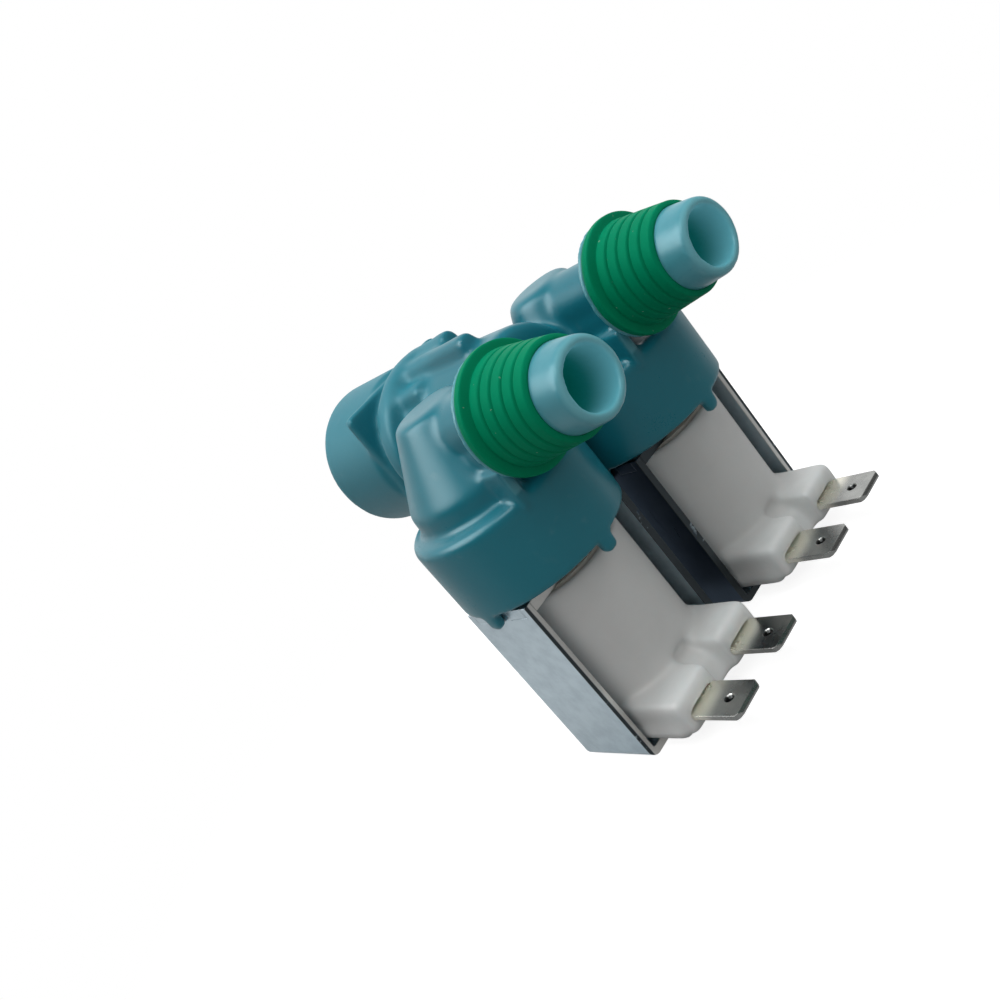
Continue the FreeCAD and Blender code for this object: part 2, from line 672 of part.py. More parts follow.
def hollow_inlet(body):
    """Strainer bore, as deep as what it holds, then the passage and the channel across."""
    turned_out(body, "XZ", [
        (-1.0, 0),
        (-1.0, size("inlet_bore")),
        (washer_seat_x, size("inlet_bore")),
        (washer_seat_x, size("passage_radius")),
        (axis_x, size("passage_radius"), 1.5),
        (axis_x, 0),
    ], "H_Axis", "inlet_waterway")
    drill(body, "XZ", size("channel_radius"), size("pitch") - seat_radius - size("chamber_radius"),
          "cross_channel", offset=(axis_x - 1.0, -size("channel_drop"), 0), both_ways=True)


def make_sleeve(side):
    """Ribbed rubber sleeve on an outlet spigot."""
    body = new_body(f"outlet_sleeve_{side}", (axis_x, half_pitch * SIDES[side], outlet_z))
    back = size("disc_reach")
    rib_start = back + size("sleeve_flange_thick")
    ribs = int(size("sleeve_ribs").value)
    step = (size("sleeve_length") - size("sleeve_flange_thick")) / ribs
    points = [(back, size("spigot_radius")), (back, size("sleeve_flange"), size("sleeve_flange_edge")),
              (rib_start, size("sleeve_flange"), size("sleeve_front_edge"))]
    edge = size("sleeve_rib_edge")
    for i in range(ribs):
        crest = size("sleeve_root") - (size("sleeve_root") - size("sleeve_nose")) * (i / (ribs - 1))
        root = crest - size("sleeve_groove")
        points.append((rib_start + step * i + step * 0.06, root))
        points.append((rib_start + step * i + step * 0.3, crest, edge))
        points.append((rib_start + step * i + step * 0.82, crest, edge))
    points.append((back + size("sleeve_length"), size("spigot_radius") + size("sleeve_lip")))
    points.append((back + size("sleeve_length"), size("spigot_radius")))
    turned(body, "XZ", points, "H_Axis", "sleeve")
    return body


def make_bracket(side):
    """U-shaped sheet steel strip around a coil."""
    body = new_body(f"coil_bracket_{side}", valve_place(side))
    half = size("bracket_half")
    thick = size("strip_thick")
    inner = half - thick
    bend = size("bend_radius")
    block(body, "YZ", [
        (-half, leg_top_z), (-half, base_z, bend + thick), (half, base_z, bend + thick), (half, leg_top_z),
        (inner, leg_top_z), (inner, base_top_z, bend), (-inner, base_top_z, bend), (-inner, leg_top_z),
    ], size("strip_width"), "strip", both_ways=True)
    for index, along in enumerate((-size("tenon_offset"), size("tenon_offset"))):
        wide = size("tenon_width") / 2 + size("fit_gap")
        cut(body, "XZ", [
            (along - wide, leg_top_z + 1.0), (along + wide, leg_top_z + 1.0),
            (along + wide, yoke_low_z - size("fit_gap")), (along - wide, yoke_low_z - size("fit_gap")),
        ], half * 3, f"tenon_slot_{index}", both_ways=True)
    drill(body, "XY", size("tail_radius") + size("fit_gap"), thick * 4, "tail_hole",
          offset=(0, 0, base_z), both_ways=True)
    return body


def make_yoke(side):
    """Yoke plate that closes the bracket, with tenons in the legs' slots."""
    body = new_body(f"yoke_plate_{side}", valve_place(side))
    inner = bracket_inner - size("fit_gap")
    wide = size("strip_width") / 2
    block(body, "XY", [(-wide, -inner), (wide, -inner), (wide, inner), (-wide, inner)],
          size("yoke_thick"), "plate", offset=(0, 0, yoke_low_z))
    tenon = size("tenon_width") / 2
    reach = size("bracket_half")
    for index, along in enumerate((-size("tenon_offset"), size("tenon_offset"))):
        block(body, "XY", [(along - tenon, -reach), (along + tenon, -reach),
                           (along + tenon, reach), (along - tenon, reach)],
              size("yoke_thick"), f"tenon_{index}", offset=(0, 0, yoke_low_z))
    drill(body, "XY", guide_radius + size("fit_gap"), size("yoke_thick") * 4, "guide_hole",
          offset=(0, 0, yoke_low_z), both_ways=True)
    return body


def make_bobbin(side):
    body = new_body(f"bobbin_{side}", valve_place(side))
    bore = size("bobbin_bore")
    barrel = bore + size("bobbin_wall")
    rim = size("coil_radius") - size("coil_wall")
    flange = size("bobbin_flange")
    turned(body, "XZ", [
        (bore, coil_low_z), (rim, coil_low_z), (rim, coil_low_z + flange), (barrel, coil_low_z + flange),
        (barrel, coil_top_z - flange), (rim, coil_top_z - flange), (rim, coil_top_z), (bore, coil_top_z),
    ], "V_Axis", "spool")
    return body


def make_winding(side):
    body = new_body(f"winding_{side}", valve_place(side))
    inner = size("bobbin_bore") + size("bobbin_wall")
    outer = size("coil_radius") - size("coil_wall")
    low = coil_low_z + size("bobbin_flange")
    high = coil_top_z - size("bobbin_flange")
    turned(body, "XZ", [(inner, low), (outer, low), (outer, high), (inner, high)], "V_Axis", "turns")
    return body


def make_flux_sleeve(side):
    body = new_body(f"flux_sleeve_{side}", valve_place(side))
    inner = guide_radius + size("fit_gap")
    outer = size("bobbin_bore")
    high = coil_low_z + (coil_top_z - coil_low_z) * 0.42
    turned(body, "XZ", [(inner, coil_low_z), (outer, coil_low_z), (outer, high), (inner, high)],
           "V_Axis", "sleeve")
    return body


def make_overmould(side):
    """White moulding around the winding, with the terminal block in one piece."""
    body = new_body(f"coil_overmould_{side}", valve_place(side))
    outer = size("coil_radius")
    inner = outer - size("coil_wall")
    front = size("block_reach")
    half = size("block_half")
    top = block_low_z + size("block_height")
    edge = size("block_edge")
    trim = size("block_chamfer")
    draft = size("block_draft")
    turned(body, "XZ", [
        (inner - 0.5, coil_low_z), (outer, coil_low_z),
        (outer, coil_top_z, size("coil_edge")), (inner - 0.5, coil_top_z),
    ], "V_Axis", "shell")
    block(body, "XY", [
        (size("block_root"), -half), (front - draft, -half, edge), (front, -half + trim, edge),
        (front, half - trim, edge), (front - draft, half, edge), (size("block_root"), half),
    ], size("block_height"), "terminal_block", offset=(0, 0, block_low_z))
    rounded(body, edge, "block_edges", lambda side: side.BoundBox.ZMin > top.value - 0.01
            and side.BoundBox.ZMax < top.value + 0.01
            and side.BoundBox.XMax > outer.value * 0.5
            and side.BoundBox.XMin > size("block_root").value / 2)
    notch = size("notch_half")
    cut(body, "XZ", [
        (inner + size("notch_web"), top + 1.0), (inner + size("notch_web"), top - size("notch_step")),
        (front - size("notch_depth"), top - size("notch_drop"), size("notch_edge")),
        (front - size("notch_foot"), block_low_z - 1.0),
        (front + 2.0, block_low_z - 1.0), (front + 2.0, top + 1.0),
    ], notch * 2, "notch", both_ways=True)
    lobe = new_sketch(body, "YZ", "lobe_profile", (0, 0, size("lobe_back")))
    ring_outline(lobe, size("lobe_radius"), -half + size("lobe_inset"),
                 coil_low_z + size("lobe_radius") + size("fit_gap"))
    pad(body, lobe, size("lobe_length"), "lobe")
    drill(body, "XY", inner, (coil_top_z - coil_low_z) * 3, "coil_room",
          offset=(0, 0, coil_low_z), both_ways=True)
    for name, sign in (("left", -1), ("right", 1)):
        wide = size("tab_width") / 2
        middle = size("tab_offset") * sign
        thick = size("tab_thick") / 2
        cut(body, "YZ", [
            (middle - wide, tab_z - thick), (middle + wide, tab_z - thick),
            (middle + wide, tab_z + thick), (middle - wide, tab_z + thick),
        ], size("block_reach"), f"{name}_tab_slot", offset=(0, 0, size("tab_root")), backwards=True)
    return body


def make_blade(side, hand):
    """Blade terminal with a latch dimple, trimmed corners and a bevelled lead-in."""
    sign = SIDES[hand]
    place = (axis_x, half_pitch * SIDES[side] + size("tab_offset") * sign, tab_z)
    body = new_body(f"blade_terminal_{side}_{hand}", place)
    wide = size("tab_width") / 2
    tip = size("tab_reach")
    root = size("tab_root")
    thick = size("tab_thick")
    corner = size("tab_corner")
    block(body, "XY", [
        (root, -wide), (tip - corner, -wide, 0.3), (tip, corner - wide, 0.3),
        (tip, wide - corner, 0.3), (tip - corner, wide, 0.3), (root, wide),
    ], thick, "blade", both_ways=True)
    bevel = size("tab_bevel")
    for name, face in (("upper", 1), ("lower", -1)):
        cut(body, "XZ", [
            (tip - bevel * 2, thick / 2 * face), (tip + bevel, (thick / 2 - bevel * 1.5) * face),
            (tip + bevel, thick * face), (tip - bevel * 2, thick * face),
        ], wide * 4, f"{name}_lead_in", both_ways=True)
    hole = size("tab_hole")
    floor = thick / 2 - size("tab_hole_depth")
    turned_out(body, "XZ", [(0, floor), (hole / 2, floor), (hole, thick / 2), (hole, thick), (0, thick)],
               "V_Axis", "latch_dimple", (tip - size("tab_hole_inset"), 0, 0))
    return body


def make_guide(side):
    """Armature guide: flange that closes the drum, tube for the plunger, tail pin."""
    body = new_body(f"armature_guide_{side}", valve_place(side))
    flange = size("drum_bore") - size("fit_gap")
    flange_top = ledge_z - size("bead_thick")
    recess = size("chamber_radius")
    recess_floor = flange_top - size("guide_recess")
    tail_end = base_z + 0.3
    turned(body, "XZ", [
        (0, tail_end), (size("tail_radius"), tail_end), (size("tail_radius"), coil_low_z),
        (guide_radius, coil_low_z), (guide_radius, rim_z - 0.2), (flange, rim_z - 0.2),
        (flange, flange_top), (recess, flange_top), (recess, recess_floor),
        (size("guide_bore"), recess_floor), (size("guide_bore"), guide_floor_z), (0, guide_floor_z),
    ], "V_Axis", "guide")
    return body


def make_plunger(side):
    """Steel plunger with a spring pocket below and a recess for its seal above."""
    body = new_body(f"plunger_{side}", valve_place(side))
    radius = size("guide_bore") - size("plunger_clearance")
    seal = size("seal_radius")
    pocket_radius = size("spring_radius") + size("spring_wire") + 0.25
    turned(body, "XZ", [
        (pocket_radius, plunger_low_z), (radius, plunger_low_z, 0.4), (radius, plunger_top_z, 0.6),
        (seal, plunger_top_z), (seal, plunger_top_z - size("seal_depth")),
        (0, plunger_top_z - size("seal_depth")), (0, spring_top_z), (pocket_radius, spring_top_z),
    ], "V_Axis", "armature")
    return body


def make_plunger_seal(side):
    """Rubber tip that closes the pilot hole."""
    body = new_body(f"plunger_seal_{side}", valve_place(side))
    seal = size("seal_radius")
    low = plunger_top_z - size("seal_depth")
    high = pilot_z - size("pilot_gap")
    turned(body, "XZ", [
        (0, low), (seal, low), (seal, plunger_top_z), (seal - size("seal_taper"), high), (0, high),
    ], "V_Axis", "seal")
    return body


def make_spring(side):
    """Compression spring between the guide's floor and the plunger's pocket."""
    body = new_body(f"plunger_spring_{side}", valve_place(side))
    wire = size("spring_wire")
    profile = new_sketch(body, "XZ", "wire_profile", (0, guide_floor_z + wire, 0))
    ring_outline(profile, wire, size("spring_radius"), 0)
    helix = body.newObject("PartDesign::AdditiveHelix", "coil")
    helix.Profile = profile
    helix.ReferenceAxis = (profile, ["V_Axis"])
    helix.Mode = 2
    bind(helix, "Height", spring_top_z - guide_floor_z - wire * 2)
    bind(helix, "Turns", size("spring_turns"))
    return body


def make_insert(side):
    """Plastic centre of the diaphragm with the pilot hole and four bleed holes."""
    body = new_body(f"diaphragm_insert_{side}", valve_place(side))
    plate = seat_radius + size("insert_lip")
    stem = size("insert_stem")
    under = seat_z - size("insert_plate")
    pilot = size("pilot_radius")
    nipple = size("pilot_nipple")
    foot = pilot_z + size("pilot_step")
    turned(body, "XZ", [
        (pilot, pilot_z), (nipple, pilot_z), (nipple + size("pilot_flare"), foot),
        (stem, foot), (stem, under),
        (plate, under), (plate, seat_z, 0.3), (pilot, seat_z),
    ], "V_Axis", "insert")
    bleed = new_sketch(body, "XY", "bleed_profile", (0, 0, seat_z))
    ring_outline(bleed, size("bleed_radius"), seat_radius - size("bleed_inset"), 0)
    hole = pocket(body, bleed, size("insert_plate") * 3, "bleed_hole", both_ways=True)
    around(body, hole, 4, "bleed_holes")
    return body


def make_diaphragm(side):
    """Rubber diaphragm: clamped rim, rolled web and the collar on its insert."""
    body = new_body(f"diaphragm_{side}", valve_place(side))
    rim = size("drum_bore") - size("fit_gap")
    bead = size("chamber_radius") + 0.2
    film = size("film")
    stem = size("insert_stem")
    under = seat_z - size("insert_plate")
    web_top = web_under_z + film
    bead_low = ledge_z - size("bead_thick")
    turned(body, "XZ", [
        (stem, under - film), (seat_radius + 0.6, under - film), (seat_radius + 1.6, web_under_z, 0.5),
        (bead - 1.2, web_under_z), (bead - 0.4, bead_low), (rim, bead_low), (rim, ledge_z),
        (bead, ledge_z), (bead - 1.0, web_top, 0.5), (seat_radius + 1.6, web_top, 0.5),
        (seat_radius + 0.6, under), (stem, under),
    ], "V_Axis", "membrane")
    return body


def make_strainer():
    """Cup strainer in the inlet, with a ring at its mouth and slots round its wall."""
    body = new_body("inlet_strainer")
    mouth = size("strainer_inset")
    end = strainer_end_x
    rim = size("inlet_bore") - size("fit_gap")
    wall = size("strainer_wall")
    cup = rim - size("strainer_slope")
    narrow = cup - size("strainer_taper")
    inside = end - size("strainer_floor")
    pin_end = inside - size("strainer_pin")
    pin = size("strainer_pin_tip")
    turned(body, "XZ", [
        (mouth, rim), (mouth, cup - wall), (inside, narrow - wall),
        (inside, pin + size("strainer_pin_draft")), (pin_end, pin), (pin_end, 0),
        (end, 0), (end, narrow, size("strainer_edge")), (mouth + size("strainer_ring"), cup),
        (mouth + size("strainer_ring"), rim),
    ], "H_Axis", "cup")
    half = size("strainer_slot_width") / 2
    start = mouth + size("strainer_ring") + size("strainer_land")
    stop = inside - size("strainer_floor")
    slot = cut(body, "XY", [
        (start, -half), (stop, -half), (stop, half), (start, half),
    ], rim * 2, "slot", offset=(0, 0, size("strainer_core")), backwards=True)
    around(body, slot, int(size("strainer_slots").value), "slots", role="X_Axis")
    return body


def make_washer_seat():
    """Perforated plastic seat at the bottom of the inlet bore."""
    body = new_body("flow_washer_seat")
    rim = size("inlet_bore") - size("fit_gap")
    pocket_radius = size("washer_radius") + size("fit_gap")
    turned(body, "XZ", [
        (washer_front_x - size("seat_rim"), pocket_radius),
        (washer_front_x - size("seat_rim"), rim), (washer_seat_x, rim),
        (washer_seat_x, size("seat_hole")), (washer_front_x, size("seat_hole")),
        (washer_front_x, pocket_radius),
    ], "H_Axis", "seat")
    hole = new_sketch(body, "YZ", "port_profile", (0, 0, washer_seat_x))
    ring_outline(hole, size("seat_port"), size("seat_port_circle"), 0)
    port = pocket(body, hole, size("seat_floor") * 3, "port", both_ways=True)
    around(body, port, int(size("seat_ports").value), "ports", role="X_Axis")
    return body


def make_flow_washer():
    """Rubber washer that limits the flow."""
    body = new_body("flow_washer")
    bore = size("washer_hole")
    turned(body, "XZ", [
        (washer_back_x, bore + size("washer_chamfer")), (washer_back_x, size("washer_radius"), 0.3),
        (washer_front_x, size("washer_radius")), (washer_front_x, bore),
        (washer_back_x + size("washer_chamfer_length"), bore),
    ], "H_Axis", "washer")
    return body


def build():
    parts = [make_valve_body(), make_strainer(), make_washer_seat(), make_flow_washer()]
    for side in SIDES:
        parts.append(make_sleeve(side))
        parts.append(make_diaphragm(side))
        parts.append(make_insert(side))
        parts.append(make_guide(side))
        parts.append(make_plunger(side))
        parts.append(make_plunger_seal(side))
        parts.append(make_spring(side))
        parts.append(make_bracket(side))
        parts.append(make_yoke(side))
        parts.append(make_bobbin(side))
        parts.append(make_winding(side))
        parts.append(make_flux_sleeve(side))
        parts.append(make_overmould(side))
        for hand in ("left", "right"):
            parts.append(make_blade(side, hand))
    doc.recompute()
    return parts


def export(parts):
    """Check every object, then write each sub-part to its own file."""
    for item in doc.Objects:
        if "Invalid" in item.State or "Error" in item.State:
            raise RuntimeError(f"{item.Label} did not build: {item.State}")
    for part in parts:
        if part.Shape.isNull() or not part.Shape.isValid():
            raise RuntimeError(f"{part.Label} has no valid shape")
    os.makedirs("parts", exist_ok=True)
    for part in parts:
        part.Shape.exportStep(os.path.join("parts", f"{part.Label}.step"))
        print(f"{part.Label}: {part.Shape.Volume:.1f} mm3, {len(part.Shape.Solids)} solid, "
              f"{len(part.Shape.Faces)} faces")


export(build())
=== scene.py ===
"""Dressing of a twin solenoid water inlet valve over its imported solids.

Frame: the origin is the centre of the inlet's open end, +X runs towards the
outlets, +Y from the left valve to the right one, +Z up from the solenoids to
the outlets. Lengths are metres, and sizes of the part are written in
millimetres times MM.
"""
import json
import logging
import math
from dataclasses import dataclass, field
from enum import Enum
from typing import Any, Callable, Sequence

import bmesh
import bpy
import numpy as np
from mathutils import Matrix, Vector


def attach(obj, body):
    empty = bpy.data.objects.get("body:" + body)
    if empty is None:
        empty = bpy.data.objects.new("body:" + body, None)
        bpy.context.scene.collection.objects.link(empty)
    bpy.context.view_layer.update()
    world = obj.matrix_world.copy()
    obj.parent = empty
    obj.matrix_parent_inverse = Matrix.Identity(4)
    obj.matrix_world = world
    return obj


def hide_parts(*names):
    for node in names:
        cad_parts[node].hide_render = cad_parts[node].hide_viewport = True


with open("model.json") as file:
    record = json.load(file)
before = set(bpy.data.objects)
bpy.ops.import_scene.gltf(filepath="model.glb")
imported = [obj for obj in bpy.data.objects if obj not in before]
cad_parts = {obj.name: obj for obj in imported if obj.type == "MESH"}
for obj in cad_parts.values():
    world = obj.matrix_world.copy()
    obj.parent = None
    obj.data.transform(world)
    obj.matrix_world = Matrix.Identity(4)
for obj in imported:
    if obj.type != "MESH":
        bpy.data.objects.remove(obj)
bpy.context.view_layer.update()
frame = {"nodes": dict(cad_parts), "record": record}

MM = 0.001
OUTLET_Y = 15.0 * MM
OUTLET_Z = 4.6 * MM
BLADE_Y = 5.9 * MM
SAME_PLACE = 1e-6
Colour = tuple[float, float, float]
Place = tuple[float, float, float]
Footprint = tuple[float, float, float, float]
BLACK: Colour = (0.0, 0.0, 0.0)
WHITE: Colour = (1.0, 1.0, 1.0)
log = logging.getLogger("inlet_valve")


class Side(Enum):
    """The two valves of the part, and the sign of their place along Y."""

    LEFT = -1
    RIGHT = 1

    @property
    def word(self) -> str:
        """The side's name in the names of nodes and pieces."""
        return self.name.lower()


class Wire:
    """A socket of a node tree that takes part in Python's arithmetic."""

    def __init__(self, tree: "Tree", socket: Any) -> None:
        """Keep the socket and the tree that it belongs to."""
        self.tree = tree
        self.socket = socket

    def _join(self, operation: str, other: "Wire | float", swapped: bool = False) -> "Wire":
        """A Math node on this wire and another value.

        Args:
            operation: the Math node's operation.
            other: the second value or wire.
            swapped: whether the other value comes first.

        Returns:
            The node's result.
        """
        first, second = (other, self) if swapped else (self, other)
        return self.tree.node("ShaderNodeMath", {"operation": operation}, {0: first, 1: second})[0]

    def _turn(self, operation: str) -> "Wire":
        """A Math node on this wire alone."""
        return self.tree.node("ShaderNodeMath", {"operation": operation}, {0: self})[0]

    def __add__(self, other: "Wire | float") -> "Wire":
        """Sum."""
        return self._join("ADD", other)

    def __radd__(self, other: float) -> "Wire":
        """Sum with a number first."""
        return self._join("ADD", other, True)

    def __sub__(self, other: "Wire | float") -> "Wire":
        """Difference."""
        return self._join("SUBTRACT", other)

    def __rsub__(self, other: float) -> "Wire":
        """Difference from a number."""
        return self._join("SUBTRACT", other, True)

    def __mul__(self, other: "Wire | float") -> "Wire":
        """Product."""
        return self._join("MULTIPLY", other)

    def __rmul__(self, other: float) -> "Wire":
        """Product with a number first."""
        return self._join("MULTIPLY", other, True)

    def __truediv__(self, other: "Wire | float") -> "Wire":
        """Quotient."""
        return self._join("DIVIDE", other)

    def __pow__(self, other: "Wire | float") -> "Wire":
        """Power."""
        return self._join("POWER", other)

    def least(self, other: "Wire | float") -> "Wire":
        """The smaller of the two."""
        return self._join("MINIMUM", other)

    def most(self, other: "Wire | float") -> "Wire":
        """The larger of the two."""
        return self._join("MAXIMUM", other)

    def above(self, limit: float) -> "Wire":
        """1 where the value is above the limit, and 0 elsewhere."""
        return self._join("GREATER_THAN", limit)

    def size(self) -> "Wire":
        """The value without its sign."""
        return self._turn("ABSOLUTE")

    def fraction(self) -> "Wire":
        """What follows the decimal point."""
        return self._turn("FRACT")

    def sine(self) -> "Wire":
        """The sine of the value in radians."""
        return self._turn("SINE")

    def cosine(self) -> "Wire":
        """The cosine of the value in radians."""
        return self._turn("COSINE")

    def step(self, low: float, high: float, start: float = 0.0, end: float = 1.0) -> "Wire":
        """A smooth step from start at low to end at high.

        Args:
            low: where the step begins.
            high: where the step is over.
            start: the value below low.
            end: the value above high.

        Returns:
            The stepped value.
        """
        return self.tree.node("ShaderNodeMapRange", {"interpolation_type": "SMOOTHSTEP"}, {
            "Value": self, "From Min": low, "From Max": high, "To Min": start, "To Max": end,
        })["Result"]

    def axes(self) -> "tuple[Wire, Wire, Wire]":
        """The three parts of a vector."""
        parts = self.tree.node("ShaderNodeSeparateXYZ", {}, {0: self})
        return parts["X"], parts["Y"], parts["Z"]


class Made:
    """A node of a tree, whose outputs are read as wires."""

    def __init__(self, tree: "Tree", node: Any) -> None:
        """Keep the node and its tree."""
        self.tree = tree
        self.node = node

    def __getitem__(self, key: "str | int") -> Wire:
        """One output of the node.

        Args:
            key: its name or its place.

        Returns:
            The output as a wire.
        """
        if isinstance(key, int):
            return Wire(self.tree, self.node.outputs[key])
        shown = [o for o in self.node.outputs if o.name == key and o.enabled]
        return Wire(self.tree, (shown or [self.node.outputs[key]])[0])


class Tree:
    """A node tree that is written as calls and arithmetic."""

    def __init__(self, tree: Any) -> None:
        """Empty the tree and keep it."""
        self.tree = tree
        self.tree.nodes.clear()

    def node(self, kind: str, settings: "dict[str, Any] | None" = None,
             sockets: "dict[str | int, Any] | None" = None) -> Made:
        """Any node, with its settings first and then its sockets.

        Args:
            kind: the node's type.
            settings: its own settings.
            sockets: values or wires by the socket's name or place.

        Returns:
            The node.
        """
        made = self.tree.nodes.new(kind)
        for name, value in (settings or {}).items():
            setattr(made, name, value)
        for key, value in (sockets or {}).items():
            self.feed(made, key, value)
        return Made(self, made)

    def feed(self, made: Any, key: "str | int", value: Any) -> None:
        """Set or link one input of a node.

        Args:
            made: the node.
            key: the input's name or its place.
            value: a wire to link, or a value to set.
        """
        if isinstance(key, int):
            socket = made.inputs[key]
        else:
            shown = [i for i in made.inputs if i.name == key and i.enabled]
            socket = (shown or [made.inputs[key]])[0]
        if isinstance(value, Wire):
            self.tree.links.new(value.socket, socket)
        elif socket.type == "RGBA" and len(value) == 3:
            socket.default_value = (*value, 1.0)
        else:
            socket.default_value = value


class Paint(Tree):
    """A surface material under construction."""

    bevel_samples = 6

    def __init__(self, name: str) -> None:
        """Start a material.

        Args:
            name: the material's name.
        """
        self.material = bpy.data.materials.new(name)
        self.material.use_nodes = True
        super().__init__(self.material.node_tree)
        self.place = self.node("ShaderNodeTexCoord")["Object"]

    def stretched(self, scale: Sequence[float], turn: float = 0.0) -> Wire:
        """Object coordinates stretched along the axes.

        Args:
            scale: one factor for each axis.
            turn: a turn about Z in radians.

        Returns:
            The stretched coordinates.
        """
        return self.node("ShaderNodeMapping", {}, {
            "Vector": self.place, "Scale": tuple(scale), "Rotation": (0.0, 0.0, turn),
        })["Vector"]

    def noise(self, per_metre: float, detail: float = 3.0, rough: float = 0.55,
              where: "Wire | None" = None, seed: float = 0.0) -> Wire:
        """Fractal noise in the part's own coordinates.

        Args:
            per_metre: how many features there are in a metre.
            detail: octaves of finer noise.
            rough: how strong the finer noise is.
            where: other coordinates to use.
            seed: a shift that gives another pattern.

        Returns:
            A value about one half.
        """
        return self.node("ShaderNodeTexNoise", {"noise_dimensions": "4D"}, {
            "Vector": where or self.place, "W": seed, "Scale": per_metre, "Detail": detail, "Roughness": rough,
        })["Fac"]

    def mix(self, factor: "Wire | float", low: "Wire | Colour", high: "Wire | Colour") -> Wire:
        """Two colours mixed.

        Args:
            factor: 0 gives low and 1 gives high.
            low: the first colour.
            high: the second colour.

        Returns:
            The mixed colour.
        """
        made = self.node("ShaderNodeMix", {"data_type": "RGBA"})
        self.feed(made.node, "Factor", factor)
        self.feed(made.node, "A", low)
        self.feed(made.node, "B", high)
        return made["Result"]

    def bumped(self, height: Wire, depth: float, strength: float = 1.0,
               under: "Wire | None" = None) -> Wire:
        """A normal roughened by a height.

        Args:
            height: the height, from 0 to 1.
            depth: what 1 stands for, in metres.
            strength: how much of it shows.
            under: the normal that it goes over.

        Returns:
            The new normal.
        """
        sockets: "dict[str | int, Any]" = {"Height": height, "Distance": depth, "Strength": strength}
        if under is not None:
            sockets["Normal"] = under
        return self.node("ShaderNodeBump", {}, sockets)["Normal"]

    def rounded(self, radius: float) -> Wire:
        """A normal that rounds the edges it meets within the radius."""
        return self.node("ShaderNodeBevel", {"samples": self.bevel_samples}, {"Radius": radius})["Normal"]

    def finish(self, **sockets: Any) -> bpy.types.Material:
        """Close the material with one shader.

        Args:
            sockets: the shader's sockets, with underscores for spaces.

        Returns:
            The material.
        """
        named = {name.replace("_", " "): value for name, value in sockets.items()}
        shader = self.node("ShaderNodeBsdfPrincipled", {}, named)
        self.node("ShaderNodeOutputMaterial", {}, {"Surface": shader["BSDF"]})
        return self.material


def shaded(colour: Colour, factor: float) -> Colour:
    """A colour made darker or brighter, up to white."""
    return tuple(min(1.0, part * factor) for part in colour)


@dataclass(frozen=True)
class OutletTone:
    """How the outlets' stop discs, rims and bores differ in tone from the moulding: painted highlights on the
    discs and rims, and painted light in the bores.
    """

    deep: Colour = (0.0, 0.26, 0.22)
    # painted highlight on the rims and stop discs, also standing for light through their thin walls
    rim_highlight: Colour = (0.150, 0.440, 0.500)
    glow_deep: Colour = (0.0, 0.032, 0.028)
    glow_mouth: Colour = (0.040, 0.120, 0.140)
    disc_highlight_share: float = 0.65
    disc_from: float = 55.2 * MM
    disc_full: float = 55.7 * MM
    disc_to: float = 58.0 * MM
    disc_above: float = -4.2 * MM
    disc_all_above: float = -3.6 * MM
    rim_from: float = 73.0 * MM
    rim_full: float = 73.7 * MM
    bore_radius: float = 3.9 * MM
    wall_radius: float = 4.5 * MM
    bore_from: float = 56.0 * MM
    bore_full: float = 58.0 * MM
    deep_to: float = 64.0 * MM
    pale_from: float = 71.0 * MM
    glow_from: float = 67.5 * MM
    glow_full: float = 73.4 * MM

    def lay(self, paint: Paint, base: Wire, pale: Colour) -> "tuple[Wire, Wire]":
        """Lay the outlets' painted highlights and painted light over the moulding's colour.

        Args:
            paint: the material under construction.
            base: the moulding's colour so far.
            pale: the colour at the bore's mouth, where light through the thin wall is painted.

        Returns:
            The new colour, and the painted glow of daylight through the bore's thin wall.
        """
        along, across, up = paint.place.axes()
        # painted highlight: the stop discs and the outlet rims made paler, also standing for light through their
        # thin walls
        disc = along.step(self.disc_from, self.disc_full) * (self.disc_to - along).step(0.0, 0.2 * MM)
        disc = disc * up.step(self.disc_above, self.disc_all_above)
        rim_highlight = along.step(self.rim_from, self.rim_full)
        base = paint.mix((disc * self.disc_highlight_share).most(rim_highlight), base, self.rim_highlight)
        sideways = across.size() - OUTLET_Y
        upwards = up - OUTLET_Z
        radius = (sideways * sideways + upwards * upwards) ** 0.5
        inside = radius.step(self.bore_radius, self.wall_radius, 1.0, 0.0)
        inside = inside * along.step(self.bore_from, self.bore_full)
        # painted light: the bore runs from a darker green deep inside to pale at the mouth, and glows, for
        # daylight through its thin wall
        bore = paint.mix(along.step(self.deep_to, self.pale_from), self.deep, pale)
        lit = paint.mix(along.step(self.glow_from, self.glow_full), self.glow_deep, self.glow_mouth)
        return paint.mix(inside, base, bore), paint.mix(inside, BLACK, lit)


